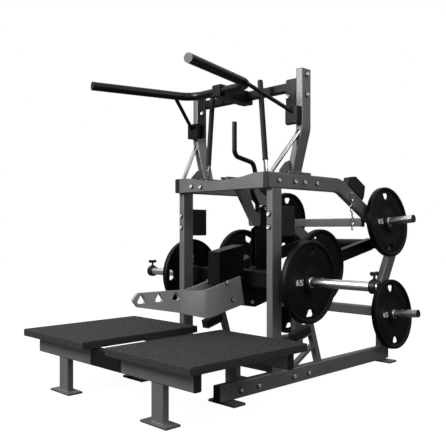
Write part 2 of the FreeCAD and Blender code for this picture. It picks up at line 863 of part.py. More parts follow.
tip_run_x = S.bar_tip_x - S.bar_bend_x
tip_run_y = S.bar_tip_y - S.bar_y
tip_run = root(tip_run_x * tip_run_x + tip_run_y * tip_run_y)
bar_caps = []
handle_braces = []
for name, side in SIDES:
    ahead = [S.bar_tip_x + tip_run_x / tip_run * 5, S.bar_tip_y + tip_run_y / tip_run * 5]
    bar_caps.append(rod(f"bar_cap_{name}", (S.bar_tip_x * side, S.bar_tip_y, S.bar_z),
                        (ahead[0] * side, ahead[1], S.bar_z), S.bar_radius))
    brace = rod(f"handle_brace_bar_{name}",
                (S.handle_brace_x * side, S.handle_brace_y, S.bar_z - 12),
                (S.handle_brace_end_x * side, S.clamp_front_y + 10, S.handle_brace_end_z),
                S.handle_brace_radius)
    bar_seat = rod(f"handle_brace_head_{name}", (S.bar_bend_x * side, S.bar_y, S.bar_z),
                   (S.bar_tip_x * side, S.bar_tip_y, S.bar_z), S.bar_radius)
    clamp_seat = block(f"handle_brace_foot_{name}",
                       (S.handle_brace_end_x * side - 40, S.clamp_front_y,
                        S.clamp_low_z - 40),
                       (S.handle_brace_end_x * side + 40, S.mast_front_y,
                        S.clamp_low_z + S.clamp_tall + 40))
    seats = fuse(f"handle_brace_seats_{name}", [bar_seat, clamp_seat])
    handle_braces.append(cut(f"handle_brace_{name}", brace, seats))
node(group("handle_braces", handle_braces))


# Upright hand posts with their grips, on brackets behind the front cross beam

posts = []
grips = []
post_brackets = []
for name, side in SIDES:
    foot = (S.post_foot_x * side, S.post_foot_y, S.post_foot_z + 1.1)
    top = (S.post_top_x * side, S.post_foot_y, S.post_top_z)
    along = [size(b) - size(a) for a, b in zip(foot, top)]
    whole = root(along[0] * along[0] + along[2] * along[2])
    grip_foot = [a + d * S.post_bare / whole for a, d in zip(foot, along)]
    posts.append(rod(f"hand_post_{name}", foot, tuple(grip_foot), S.post_radius))
    grips.append(rod(f"hand_grip_{name}", tuple(grip_foot), top, S.grip_radius))
    low_x, high_x = span(side, S.post_foot_x - 28, S.post_foot_x + 28)
    post_brackets.append(prism(f"post_bracket_{name}", "XY_Plane",
                               S.post_foot_z - S.plate_thick, S.post_foot_z,
                               [rectangle(low_x, high_x, cross_back_y, S.post_foot_y + 26,
                                          size(8))]))
node(group("hand_posts", posts))
node(group("hand_grips", grips))


# Standing platform: two rubber mats on a front and a rear beam with legs

mat_under_z = S.mat_top_z - S.mat_thick
mat_rear_y = S.mat_front_y + S.mat_long
for name, side in SIDES:
    low_x, high_x = span(side, S.mat_inner_x, S.mat_inner_x + S.mat_wide)
    mat = new_body(f"platform_mat_{name}")
    slab = pad(mat, "XY_Plane", mat_under_z, S.mat_top_z,
               [rectangle(low_x, high_x, S.mat_front_y, mat_rear_y, size(12))])
    doc.recompute()
    top_edges = [f"Edge{i}" for i, edge in enumerate(slab.Shape.Edges, start=1)
                 if edge.BoundBox.ZMin > S.mat_top_z.value - 0.1]
    bevel = mat.newObject("PartDesign::Chamfer", mat.Name + "_bevel")
    bevel.Base = (slab, top_edges)
    bind(bevel, "Size", S.mat_chamfer)
    node(mat)

deck_under_z = mat_under_z - S.deck_beam_tall
deck_caps = []
deck_beams = []
for name, side in SIDES:
    low_x, high_x = span(side, S.deck_link_half, S.deck_half_x)
    deck_beams.append(box_tube(f"platform_front_beam_{name}", "X", low_x, high_x,
                               S.deck_front_y, S.deck_front_y + S.deck_beam_wide,
                               deck_under_z, mat_under_z))
    low_x, high_x = span(side, S.deck_half_x, S.deck_half_x + S.cap_thick)
    for front_y in (S.deck_front_y, S.deck_rear_y):
        deck_caps.append(prism(f"deck_cap_{name}", "YZ_Plane", low_x, high_x,
                               [rectangle(front_y, front_y + S.deck_beam_wide, deck_under_z,
                                          mat_under_z, S.tube_corner)]))
node(group("platform_front_beams", deck_beams))
node(box_tube("platform_front_link", "X", -S.deck_link_half, S.deck_link_half,
              S.deck_front_y, S.deck_front_y + S.deck_beam_wide, deck_under_z, mat_under_z))
node(box_tube("platform_rear_beam", "X", -S.deck_half_x, S.deck_half_x,
              S.deck_rear_y, S.deck_rear_y + S.deck_beam_wide, deck_under_z, mat_under_z))

legs = []
leg_feet = []
for name, side in SIDES:
    for end, inner_x, front_y in (("front", S.front_leg_x, S.deck_front_y + 2),
                                  ("rear", S.rear_leg_x, S.deck_rear_y + 2)):
        low_x, high_x = span(side, inner_x, inner_x + S.leg_wide)
        foot_top_z = S.foot_pad_thick + S.leg_foot_thick
        legs.append(box_tube(f"leg_{end}_{name}", "Z", foot_top_z, deck_under_z,
                             low_x, high_x, front_y, front_y + S.leg_deep))
        centre_x = (low_x + high_x) / 2
        centre_y = front_y + S.leg_deep / 2
        wide = S.leg_foot_wide if end == "front" else S.leg_wide + 24
        shape = rectangle(centre_x - wide / 2, centre_x + wide / 2,
                          centre_y - S.leg_foot_deep / 2, centre_y + S.leg_foot_deep / 2)
        leg_feet.append(prism(f"leg_plate_{end}_{name}", "XY_Plane", S.foot_pad_thick,
                              foot_top_z, [shape]))
        foot_pads.append(prism(f"leg_pad_{end}_{name}", "XY_Plane", 0,
                               S.foot_pad_thick, [shape]))

# A tie plate joins each rear leg to the base rail beside it.
ties = []
for name, side in SIDES:
    low_x, high_x = span(side, S.rear_leg_x + S.leg_wide, S.rail_inner_x)
    ties.append(box_tube(f"platform_tie_{name}", "X", low_x, high_x, S.deck_rear_y + 2,
                         S.deck_rear_y + 2 + S.leg_deep, rail_top_z - S.tie_wide,
                         rail_top_z))
node(group("platform_legs", legs + ties))
node(group("foot_plates", foot_plates + leg_feet))
node(group("foot_pads", foot_pads))


# Lower bumpers: a leaning post and a strut on each rail carry a rubber pad

bumper_posts = []
bumper_pads = []
seat_dir = S.bumper_slope
front_top = (S.bumper_front_y, S.bumper_front_z)
front_under = step(front_top, seat_dir - 90, S.bumper_thick)
for name, side in SIDES:
    low_x, high_x = span(side, S.rail_inner_x, rail_outer_x)
    pad_shape = [front_top, front_under, step(front_under, seat_dir, S.bumper_long),
                 step(front_top, seat_dir, S.bumper_long)]
    bumper_pads.append(prism(f"bumper_pad_{name}", "YZ_Plane", low_x - 6, high_x + 6,
                             [pad_shape]))
    seat_low = step(front_under, seat_dir - 90, S.bumper_seat_thick)
    seat = prism(f"bumper_seat_{name}", "YZ_Plane", low_x - 6, high_x + 6,
                 [[front_under, seat_low, step(seat_low, seat_dir, S.bumper_long + 14),
                   step(front_under, seat_dir, S.bumper_long + 14)]])
    post_angle = 90 + S.bumper_post_lean
    rise = S.bumper_post_top_z - rail_top_z
    post_top_y = S.bumper_post_y - rise * tangent(S.bumper_post_lean)
    half = S.bumper_post_deep / 2
    post = prism(f"bumper_post_{name}", "YZ_Plane", low_x + 6, high_x - 6,
                 [[(S.bumper_post_y - half, rail_top_z), (S.bumper_post_y + half, rail_top_z),
                   (post_top_y + half, S.bumper_post_top_z),
                   (post_top_y - half, S.bumper_post_top_z)]])
    meet_z = rail_top_z + S.bumper_strut_rise
    meet_y = S.bumper_post_y - S.bumper_strut_rise * tangent(S.bumper_post_lean) - half + 4
    strut = prism(f"bumper_strut_{name}", "YZ_Plane", low_x + 8, high_x - 8,
                  [[(S.bumper_strut_y, rail_top_z),
                    (S.bumper_strut_y + S.bumper_strut_long, rail_top_z),
                    (meet_y, meet_z - 24), (meet_y, meet_z)]])
    bumper_posts += [fuse(f"bumper_stand_{name}", [seat, post, strut])]
node(group("bumper_stands", bumper_posts))

stop_pads = []
for name, side in SIDES:
    low_x, high_x = span(side, S.rail_inner_x, rail_outer_x)
    stop_pads.append(prism(f"stop_block_{name}", "XY_Plane", S.stop_low_z,
                           S.stop_low_z + S.stop_tall,
                           [rectangle(low_x, high_x, S.stop_front_y,
                                      S.stop_front_y + S.stop_deep, size(5))]))
node(group("arm_stop_pads", bumper_pads + stop_pads))


# Six-sided rubber pads on the slope of the side beams

top_corner = step(beam_bend, 90 - S.beam_slope / 2, S.beam_tall / 2 / cosine(S.beam_slope / 2))


def on_slope(along, up):
    """A point along the slope's upper face from its bend, and up from that face."""
    return step(step(top_corner, -S.beam_slope, along), 90 - S.beam_slope, up)


slope_pads = []
for name, side in SIDES:
    low_x, high_x = span(side, beam_inner_x - 2, beam_outer_x + 2)
    hexagon = prism(f"slope_pad_{name}", "YZ_Plane", low_x, high_x,
                    [[on_slope(S.slope_pad_start, 0), on_slope(S.slope_pad_end, 0),
                      (*on_slope(S.slope_pad_end, S.slope_pad_tall / 3), size(8)),
                      (*on_slope(S.slope_pad_end - 18, S.slope_pad_tall), size(12)),
                      (*on_slope(S.slope_pad_start + 54, S.slope_pad_tall), size(12)),
                      (*on_slope(S.slope_pad_start - 8, S.slope_pad_tall / 2), size(12))]])
    slope_pads.append(hexagon)
node(group("slope_pads", slope_pads))


# Belt arm: shaft and sleeve at the rear, two side tubes, and the cross tube

pivot = (S.arm_pivot_y, S.arm_pivot_z)
bearings = []
for name, side in SIDES:
    low_x, high_x = span(side, beam_inner_x, beam_outer_x)
    housing = new_body(f"pivot_bearing_{name}")
    top_left = step(under_beam, -S.beam_slope, S.arm_pivot_y - under_beam[0] - 10)
    top_right = step(under_beam, -S.beam_slope, S.arm_pivot_y - under_beam[0] + 110)
    pad(housing, "YZ_Plane", low_x, high_x,
        [[top_left, (S.arm_pivot_y - 48, S.arm_pivot_z - 20, size(30)),
          (S.arm_pivot_y, S.arm_pivot_z - 52, size(30)),
          (S.arm_pivot_y + 52, S.arm_pivot_z - 20, size(30)), top_right],
         ("circle", *pivot, S.shaft_radius + S.running_gap)])
    bearings.append(housing)
node(group("pivot_bearings", bearings))

node(disc("arm_pivot_shaft", "X", -S.shaft_half, *pivot, S.shaft_radius, S.shaft_half * 2))
sleeve_half = beam_inner_x - 4
node(prism("arm_pivot_sleeve", "YZ_Plane", -sleeve_half, sleeve_half,
           [("circle", *pivot, S.sleeve_radius), ("circle", *pivot, S.shaft_radius)]))

def arm_edge(y, offset):
    """A point of the side tube at a Y, up or down from its middle line."""
    return (y, S.arm_pivot_z - (S.arm_pivot_y - y) * tangent(S.arm_slope)
            + offset / cosine(S.arm_slope))


def arm_strip(front_y, rear_y, half):
    return [arm_edge(front_y, half), arm_edge(rear_y, half),
            arm_edge(rear_y, -half), arm_edge(front_y, -half)]


side_tubes = []
for name, side in SIDES:
    low_x, high_x = span(side, S.arm_tube_inner_x, S.arm_tube_inner_x + S.arm_tube_wide)
    body = new_body(f"arm_side_tube_{name}")
    half = S.arm_tube_tall / 2
    front_y = S.cross_y + S.cross_side / 2
    pad(body, "YZ_Plane", low_x, high_x, [arm_strip(front_y, S.arm_pivot_y, half)])
    pocket(body, "YZ_Plane", low_x + S.tube_wall, high_x - S.tube_wall,
           [arm_strip(front_y - 1, S.arm_pivot_y + 1, half - S.tube_wall)])
    pocket(body, "YZ_Plane", low_x - 1, high_x + 1, [("circle", *pivot, S.sleeve_radius)])
    side_tubes.append(body)
node(group("arm_side_tubes", side_tubes))

half_side = S.cross_side / 2
square = [(S.cross_y - half_side, S.cross_z - half_side, S.tube_corner + 3),
          (S.cross_y + half_side, S.cross_z - half_side, S.tube_corner + 3),
          (S.cross_y + half_side, S.cross_z + half_side, S.tube_corner + 3),
          (S.cross_y - half_side, S.cross_z + half_side, S.tube_corner + 3)]
inner_side = half_side - 5
inner_square = rectangle(S.cross_y - inner_side, S.cross_y + inner_side,
                         S.cross_z - inner_side, S.cross_z + inner_side, S.tube_corner)
node(prism("arm_cross_tube", "YZ_Plane", -S.cross_half_x, S.cross_half_x,
           [square, inner_square]))


# Nose of the belt arm: two plates with drop-shaped holes for the belt, which part behind

def nose_outline():
    return [(-639, 506, size(14)), (-605, 539, size(16)), (-423, 537, size(120)),
            (-225, 529, size(160)), (-173, 536, size(120)), (72, 593),
            (S.nose_rear_y, 430), (-188, 374, size(160)), (-319, 411, size(120)),
            (-605, 466, size(30))]


for name, side in SIDES:
    plate = new_body(f"nose_plate_{name}")
    thick = S.nose_plate_thick
    low_x, high_x = span(side, 0, S.nose_flare_half + thick)
    pad(plate, "YZ_Plane", low_x, high_x, [nose_outline()])
    far = S.nose_flare_half
    keep_y = S.nose_rear_y + 60
    # What is cut away leaves a flat plate that steps outward behind the belt holes.
    outside = [((thick + 1) * side, -660), ((thick + 1) * side, S.nose_join_y),
               ((far + thick) * side, S.nose_flare_y), ((far + thick) * side, keep_y),
               ((far + thick + 30) * side, keep_y), ((far + thick + 30) * side, -660)]
    inside = [(1 * side, S.nose_join_y), (far * side, S.nose_flare_y), (far * side, keep_y),
              (-10 * side, keep_y), (-10 * side, S.nose_join_y)]
    for loop in (outside, inside):
        pocket(plate, "XY_Plane", 300, 700, [loop])
    for i in range(3):
        y = S.belt_hole_front_y + S.belt_hole_pitch * i
        pocket(plate, "YZ_Plane", low_x - 1, high_x + 1,
               [[(y, S.belt_hole_tip_z, size(4)),
                 (y - S.belt_hole_half, S.belt_hole_low_z, size(12)),
                 (y + S.belt_hole_half, S.belt_hole_low_z, size(12))]])
    node(plate)

centre_front_y = S.nose_rear_y - 110
cross_under_z = S.cross_z - half_side
centre = prism("arm_centre_block", "YZ_Plane", -S.nose_flare_half, S.nose_flare_half,
               [[(centre_front_y, 462, size(8)), (S.nose_rear_y - 20, 424, size(8)),
                 (S.cross_y + 20, 404, size(8)), (S.centre_rear_y, 440, size(8)),
                 (S.centre_rear_y, cross_under_z), (S.cross_y - half_side, cross_under_z),
                 (S.cross_y - half_side, S.centre_high_z), (centre_front_y, S.centre_top_z)]])
node(centre)

centre_slope = (S.centre_high_z - S.centre_top_z) / (S.cross_y - half_side - centre_front_y)
tower_low_rear_z = S.centre_high_z - (S.cross_y - half_side - S.tower_rear_y) * centre_slope
tower_low_front_z = S.centre_top_z - (centre_front_y - S.tower_front_y) * centre_slope
tower = prism("arm_tower", "YZ_Plane", -S.tower_half, S.tower_half,
              [[(S.tower_front_y, tower_low_front_z), (S.tower_rear_y, tower_low_rear_z),
                (S.tower_rear_y, S.tower_rear_z, size(6)),
                (S.tower_front_y, S.tower_front_z, size(6))]])
node(tower)


# Catch post: two plates with a round peg between them, open for the catch to swing in

post_half = S.catch_half + S.post_gap
post_outer = post_half + S.post_plate
catch_post = prism("catch_post", "YZ_Plane", -post_outer, post_outer,
                   [[(S.cross_y + half_side, cross_under_z), (S.centre_rear_y, cross_under_z),
                     (S.centre_rear_y, S.peg_z + 14, size(20)),
                     (S.peg_y - 24, S.peg_z + 24, size(16)),
                     (S.peg_y - 24, S.block_low_z + 10, size(30)),
                     (264, S.block_low_z - 20, size(20)), (264, 640, size(20)),
                     (S.cross_y + half_side, 600)]])
pocket(catch_post, "YZ_Plane", -post_half, post_half,
       [rectangle(S.cross_y, S.centre_rear_y + 10, 640, S.peg_z + 60)])
pocket(catch_post, "YZ_Plane", -post_outer - 1, post_outer + 1,
       [("circle", S.peg_y, S.peg_z, S.catch_pin_radius)])
node(catch_post)
peg_sleeve = prism("peg_sleeve", "YZ_Plane", -post_half + 0.5, post_half - 0.5,
                    [("circle", S.peg_y, S.peg_z, S.peg_radius),
                     ("circle", S.peg_y, S.peg_z, S.catch_pin_radius)])
peg_bolt = prism("peg_bolt", "YZ_Plane", -post_outer - 6, post_outer + 6,
                   [("circle", S.peg_y, S.peg_z, S.catch_pin_radius)])
node(group("catch_peg", [peg_sleeve, peg_bolt]))


# Catch arm with its block, the black strip in front of it, and the hand lever

catch_pivot = (S.catch_pivot_y, S.catch_pivot_z)
catch = new_body("catch_arm")
pad(catch, "YZ_Plane", -S.catch_half, S.catch_half,
    [[(S.catch_pivot_y - 30, S.catch_pivot_z + 30, size(28)),
      (S.catch_pivot_y + 30, S.catch_pivot_z + 30, size(28)),
      (S.block_front_y + 34, S.block_top_z), (S.block_rear_y, S.block_top_z, size(6)),
      (S.block_rear_y, S.block_low_z, size(10)), (S.block_front_y, S.block_low_z, size(10)),
      (S.block_front_y - 4, S.block_top_z - 46),
      (S.catch_pivot_y - 30, S.catch_pivot_z - 20, size(20))],
     ("circle", *catch_pivot, S.catch_pin_radius + S.running_gap)])
node(catch)

lever = new_body("release_lever")
lever_section = new_sketch(lever, "XY_Plane", S.lever_top_z)
outline(lever_section, [("circle", 0, S.lever_y, S.lever_radius)])
lever_route = new_sketch(lever, "YZ_Plane", 0)
draw(lever_route, [(S.lever_y, S.lever_top_z), (S.lever_y, S.lever_bend_z, S.lever_bend_radius),
                   (262, 1262, S.lever_bend_radius), (290, 1180, size(40)),
                   (246, 1096, size(40)), (300, 1015, size(30)), (300, S.block_top_z)],
     closed=False)
lever_sweep = lever.newObject("PartDesign::AdditivePipe", "release_lever_sweep")
lever_sweep.Profile = lever_section
lever_sweep.Spine = (lever_route, [])
node(lever)

catch_plates = [prism(f"catch_bracket_{name}", "YZ_Plane",
                      *span(side, S.catch_half + 4, S.catch_half + 4 + S.plate_thick),
                      [[(cross_back_y, 1092), (S.catch_pivot_y, 1092),
                        (S.catch_pivot_y + 34, S.catch_pivot_z - 20, size(20)),
                        (S.catch_pivot_y + 34, S.catch_pivot_z + 34, size(20)),
                        (cross_back_y, S.catch_pivot_z + 34)],
                       ("circle", *catch_pivot, S.catch_pin_radius)])
                for name, side in SIDES]
node(group("front_beam_brackets", post_brackets + catch_plates))
pin_half = S.catch_half + 4 + S.plate_thick + 6
node(disc("catch_pin", "X", -pin_half, *catch_pivot, S.catch_pin_radius, pin_half * 2))


# Horns: bars with a flange that carry the weight plates

def horn(label, side, y, z, root_x, seat_x, tip_x):
    bar = disc(label + "_bar", "X" if side > 0 else "-X", root_x * side, y, z,
               S.horn_radius, tip_x - root_x)
    flange = disc(label + "_flange", "X" if side > 0 else "-X", root_x * side, y, z,
                  S.flange_radius, seat_x - root_x)
    return fuse(label, [bar, flange])


inner_root_x = S.arm_tube_inner_x + S.arm_tube_wide
inner_hub_z = S.arm_pivot_z - (S.arm_pivot_y - S.inner_hub_y) * tangent(S.arm_slope)
load_horns = []
horn_caps = []
for name, side in SIDES:
    load_horns.append(horn(f"outer_horn_{name}", side, S.cross_y, S.cross_z, S.cross_half_x,
                           S.outer_disc_x - S.fit_gap, S.outer_horn_tip_x))
    load_horns.append(horn(f"inner_horn_{name}", side, S.inner_hub_y, inner_hub_z,
                           inner_root_x, S.inner_disc_x - S.fit_gap, S.inner_horn_tip_x))
    for label, y, z, x in (("outer", S.cross_y, S.cross_z, S.outer_horn_tip_x),
                           ("inner", S.inner_hub_y, inner_hub_z, S.inner_horn_tip_x)):
        horn_caps.append(disc(f"{label}_horn_cap_{name}", "X" if side > 0 else "-X",
                              x * side, y, z, S.horn_radius - 0.5, S.cap_thick))
node(group("load_horns", load_horns))
node(group("load_horn_caps", horn_caps))


def tilted(side, tilt):
    """Turn about Y that points a piece's own X along a horn."""
    return -tilt if side > 0 else tilt - 180


store_horns = []
store_caps = []
STORES = (("upper", S.store_upper_y, S.store_upper_z), ("lower", S.store_lower_y, S.store_lower_z))
store_run = S.store_disc_x - rail_outer_x
for name, side in SIDES:
    for level_name, y, z in STORES:
        turn = tilted(side, S.store_tilt)
        root_z = z - store_run * sine(S.store_tilt)
        pieces = []
        for part_name, start, length, radius in (
                ("bar", size(5), S.store_tip_x - rail_outer_x - 5, S.horn_radius),
                ("hub", size(5), store_run - 5 - S.fit_gap, S.store_hub_radius)):
            bar = doc.addObject("Part::Cylinder", f"store_{part_name}_{level_name}_{name}")
            bind(bar, "Radius", radius)
            bind(bar, "Height", length)
            place(bar, (rail_outer_x + start * cosine(S.store_tilt)) * side, y,
                  root_z + start * sine(S.store_tilt), (0, 1, 0), 90 + turn)
            pieces.append(bar)
        collar = disc(f"store_foot_{level_name}_{name}", "X" if side > 0 else "-X",
                      rail_outer_x * side, y, root_z, S.rear_deep / 2, S.store_foot_thick)
        store_horns.append(fuse(f"store_horn_{level_name}_{name}", pieces + [collar]))
        cap = doc.addObject("Part::Cylinder", f"store_cap_{level_name}_{name}")
        bind(cap, "Radius", S.horn_radius - 0.5)
        bind(cap, "Height", S.cap_thick)
        run = S.store_tip_x - rail_outer_x
        place(cap, (rail_outer_x + run * cosine(S.store_tilt)) * side, y,
              root_z + run * sine(S.store_tilt), (0, 1, 0), 90 + turn)
        store_caps.append(cap)
node(group("storage_horns", store_horns))
node(group("tube_end_caps", rail_caps + beam_caps + mast_caps + bar_caps + deck_caps
           + store_caps))


# Weight plates: turned discs with a raised hub and rim and two hand holes

def weight(label, x, y, z, angle, spin):
    body = new_body(label)
    section = new_sketch(body, "XY_Plane", 0)
    bore = S.horn_radius + S.horn_gap
    step_in = (S.disc_thick - S.disc_web) / 2
    draw(section, [(0, bore), (S.disc_thick, bore), (S.disc_thick, S.disc_hub_radius),
                   (S.disc_thick - step_in, S.disc_hub_radius + 6),
                   (S.disc_thick - step_in, S.disc_radius - S.disc_rim - 6),
                   (S.disc_thick, S.disc_radius - S.disc_rim),
                   (S.disc_thick, S.disc_radius - 5), (S.disc_thick - 5, S.disc_radius),
                   (5, S.disc_radius), (0, S.disc_radius - 5),
                   (0, S.disc_radius - S.disc_rim),
                   (step_in, S.disc_radius - S.disc_rim - 6),
                   (step_in, S.disc_hub_radius + 6), (0, S.disc_hub_radius)])
    turned = body.newObject("PartDesign::Revolution", label + "_turned")
    turned.Profile = section
    turned.ReferenceAxis = (section, ["H_Axis"])
    turned.Angle = 360
    hand = S.hand_hole_middle
    tall = S.hand_hole_tall / 2
    pocket(body, "YZ_Plane", -1, S.disc_thick + 1,
           [[(-S.hand_hole_wide / 2, hand + tall, size(12)),
             (-S.hand_hole_narrow / 2, hand - tall, size(12)),
             (S.hand_hole_narrow / 2, hand - tall, size(12)),
             (S.hand_hole_wide / 2, hand + tall, size(12))],
            [(-S.hand_hole_wide / 2, -hand - tall, size(12)),
             (S.hand_hole_wide / 2, -hand - tall, size(12)),
             (S.hand_hole_narrow / 2, -hand + tall, size(12)),
             (-S.hand_hole_narrow / 2, -hand + tall, size(12))]])
    spot = f"vector({size(x).formula}; {size(y).formula}; {size(z).formula})"
    turn = (f"rotation(vector(0; 1; 0); {size(angle).formula})"
            f" * rotation(vector(1; 0; 0); {size(spin).formula})")
    body.setExpression("Placement", f"placement({spot}; {turn})")
    node(body)


for name, side in SIDES:
    flat = 0 if side > 0 else 180
    weight(f"load_plate_outer_{name}", S.outer_disc_x * side, S.cross_y, S.cross_z, flat,
           0 if side > 0 else 90)
    weight(f"load_plate_inner_{name}", S.inner_disc_x * side, S.inner_hub_y, inner_hub_z,
           flat, 20)
    for level_name, y, z in STORES:
        root_z = z - store_run * sine(S.store_tilt)
        reach = store_run
        weight(f"stored_plate_{level_name}_{name}",
               (rail_outer_x + reach * cosine(S.store_tilt)) * side, y,
               root_z + reach * sine(S.store_tilt), tilted(side, S.store_tilt), 0)


# Collars with a cross knob that lock the outer load plates

for name, side in SIDES:
    start_x = S.outer_horn_tip_x - S.collar_long - S.collar_inset
    low_x, high_x = span(side, start_x, start_x + S.collar_long)
    ring = prism(f"collar_ring_{name}", "YZ_Plane", low_x, high_x,
                 [("circle", S.cross_y, S.cross_z, S.collar_radius),
                  ("circle", S.cross_y, S.cross_z, S.horn_radius + S.running_gap)])
    mid_x = (start_x + S.collar_long / 2) * side
    stem = disc(f"collar_stem_{name}", "Z", mid_x, S.cross_y, S.cross_z + S.collar_radius - 4,
                S.collar_stem_radius, S.collar_stem_long)
    knob = disc(f"collar_knob_{name}", "Y", mid_x, S.cross_y - S.collar_knob_long / 2,
                S.cross_z + S.collar_radius - 4 + S.collar_stem_long,
                S.collar_knob_radius, S.collar_knob_long)
    node(group(f"horn_collar_{name}", [fuse(f"collar_{name}", [ring, stem, knob])]))


# Six-sided bolt heads on the frame

def bolt(label, axis, x, y, z):
    """Six-sided head standing on a face."""
    turns = {"X": ((0, 1, 0), 90), "-X": ((0, 1, 0), -90), "-Y": ((1, 0, 0), 90)}
    head = doc.addObject("Part::Prism", label)
    head.Polygon = 6
    bind(head, "Circumradius", S.bolt_head_radius)
    bind(head, "Height", S.bolt_head_tall)
    place(head, x, y, z, *turns[axis])
    return head


bolts = []
for name, side in SIDES:
    outward = "X" if side > 0 else "-X"
    for y in (-241, -109, 182, 312):
        bolts.append(bolt(f"rail_bolt_{name}", outward, rail_outer_x * side, y, 52))
    for y in (51, 188, 273, 387):
        bolts.append(bolt(f"beam_bolt_{name}", outward, beam_outer_x * side, y, beam_mid_z))
    for z in (1599, 1710):
        bolts.append(bolt(f"mast_bolt_{name}", outward, mast_outer_x * side,
                          S.mast_front_y + S.mast_deep / 2, z))
    bolts.append(bolt(f"bracket_bolt_{name}", "-Y", 348 * side, S.mast_front_y, 1594))
    for z in (943, 873):
        bolts.append(bolt(f"upright_bolt_{name}", "-Y", mast_foot_x * side, 0, z))
for x, z in ((-225, 1117), (-146, 1110)):
    bolts.append(bolt("cross_bolt", "-Y", x, cross_face_y, z))
node(group("frame_bolts", bolts))


# Chain on a peg of the right side beam: links at right angles to each other, and a hook

def link(label, z, long, wide, thick, roll):
    """Oval ring that hangs with its middle at a height, turned about its own length."""
    body = new_body(label)
    across = wide / 2
    corner = across - 1
    rings = []
    for inset, rounding in ((0, corner), (thick, corner - thick)):
        rings.append(rectangle(-across + inset, across - inset, -long / 2 + inset,
                               long / 2 - inset, rounding))
    pad(body, "XZ_Plane", -thick / 2, thick / 2, rings)
    spot = f"vector({chain_x.formula}; {S.chain_y.formula}; {z.formula})"
    body.setExpression("Placement", f"placement({spot}; "
                                    f"rotation(vector(0; 0; 1); {size(roll).formula}))")
    return body


# Each link stands at 45 degrees to the beam, with its edges against the beam's face.
chain_x = beam_outer_x + (S.link_wide + S.link_thick) / 2 * cosine(size(45)) + S.fit_gap
links = [link(f"link_{i}", S.chain_top_z - S.link_pitch * i, S.link_long, S.link_wide,
              S.link_thick, 45 if i % 2 == 0 else -45) for i in range(5)]
hook_z = S.chain_top_z - S.link_pitch * 5
links.append(link("hook", hook_z, S.link_long, S.link_wide, S.link_thick, -45))
peg_z = S.chain_top_z + S.link_long / 2 - S.link_thick - S.chain_peg_drop
links.append(disc("chain_peg", "X", beam_outer_x, S.chain_y, peg_z, S.chain_peg_radius,
                  chain_x - beam_outer_x + 8))
node(group("belt_chain", links))


# Write every piece

doc.recompute()
print("pieces", len(NODES))
bad = []
for thing in doc.Objects:
    if "Invalid" in thing.State or "Error" in thing.State:
        bad.append((thing.Name, thing.State))
for thing in NODES:
    if thing.Shape.isNull() or not thing.Shape.isValid():
        bad.append((thing.Label, "shape"))
if bad:
    raise SystemExit(f"these pieces failed: {bad}")

os.makedirs("parts", exist_ok=True)
for thing in NODES:
    thing.Shape.exportStep(os.path.join("parts", thing.Label + ".step"))
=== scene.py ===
import bmesh
import bpy
import json
import math
import numpy as np
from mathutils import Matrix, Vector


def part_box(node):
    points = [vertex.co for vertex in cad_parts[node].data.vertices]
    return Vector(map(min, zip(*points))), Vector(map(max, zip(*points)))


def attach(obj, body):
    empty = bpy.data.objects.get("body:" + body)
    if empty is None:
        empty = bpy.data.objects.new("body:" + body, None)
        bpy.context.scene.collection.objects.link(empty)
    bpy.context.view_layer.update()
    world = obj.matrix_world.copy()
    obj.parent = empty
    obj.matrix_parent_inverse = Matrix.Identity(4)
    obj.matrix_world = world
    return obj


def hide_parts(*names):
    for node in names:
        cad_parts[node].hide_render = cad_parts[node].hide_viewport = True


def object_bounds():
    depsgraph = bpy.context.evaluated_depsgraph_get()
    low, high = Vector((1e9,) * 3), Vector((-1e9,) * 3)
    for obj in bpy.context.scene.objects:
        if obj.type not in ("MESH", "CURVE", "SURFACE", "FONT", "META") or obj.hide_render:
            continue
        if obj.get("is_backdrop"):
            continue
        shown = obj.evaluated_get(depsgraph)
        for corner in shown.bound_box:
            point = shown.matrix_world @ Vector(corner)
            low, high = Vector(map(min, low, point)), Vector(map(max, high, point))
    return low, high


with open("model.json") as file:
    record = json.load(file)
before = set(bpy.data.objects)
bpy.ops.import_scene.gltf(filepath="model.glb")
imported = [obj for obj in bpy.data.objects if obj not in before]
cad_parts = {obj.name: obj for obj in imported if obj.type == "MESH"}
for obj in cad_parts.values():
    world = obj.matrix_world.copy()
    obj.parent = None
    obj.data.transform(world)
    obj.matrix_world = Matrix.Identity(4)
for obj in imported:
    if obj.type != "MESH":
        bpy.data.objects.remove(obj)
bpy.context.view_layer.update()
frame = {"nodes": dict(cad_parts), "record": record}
NODES = frame["nodes"]


# The studio: a white sweep of paper under the machine, lit by a high soft sky and three
# softboxes. The paper and the room behind look white, and what the coats and the chrome
# mirror is darker near the ground, as in a room with a black floor and flags.

PAPER_GLOW = 0.96
PAPER_MATT = "#585858"
PAPER_HALF = 14.0
ROOM_LOW = 0.07
ROOM_MIDDLE = 0.28
ROOM_HIGH = 0.92
KEY_WATTS = 330
FILL_WATTS = 55
STRIP_WATTS = 34


def shade(colour):
    """The linear red, green, blue and alpha of an sRGB hex colour."""
    parts = np.array([int(colour[i:i + 2], 16) for i in (1, 3, 5)]) / 255
    linear = np.where(parts <= 0.04045, parts / 12.92, ((parts + 0.055) / 1.055) ** 2.4)
    return (*linear.tolist(), 1.0)


def add(tree, kind, links=(), **settings):
    """Adds a node. A setting names a property, or with in_ before it an input's number
    or name, and links are (input of this node, socket that feeds it)."""
    made = tree.nodes.new(kind)
    for key, value in settings.items():
        if key.startswith("in_"):
            name = key[3:].replace("_", " ")
            made.inputs[int(name) if name.isdigit() else name].default_value = value
        else:
            setattr(made, key, value)
    for name, source in dict(links).items():
        tree.links.new(source, made.inputs[name])
    return made


def new_material(name):
    """An empty material and its tree."""
    material = bpy.data.materials.new(name)
    material.use_nodes = True
    material.node_tree.nodes.clear()
    return material, material.node_tree


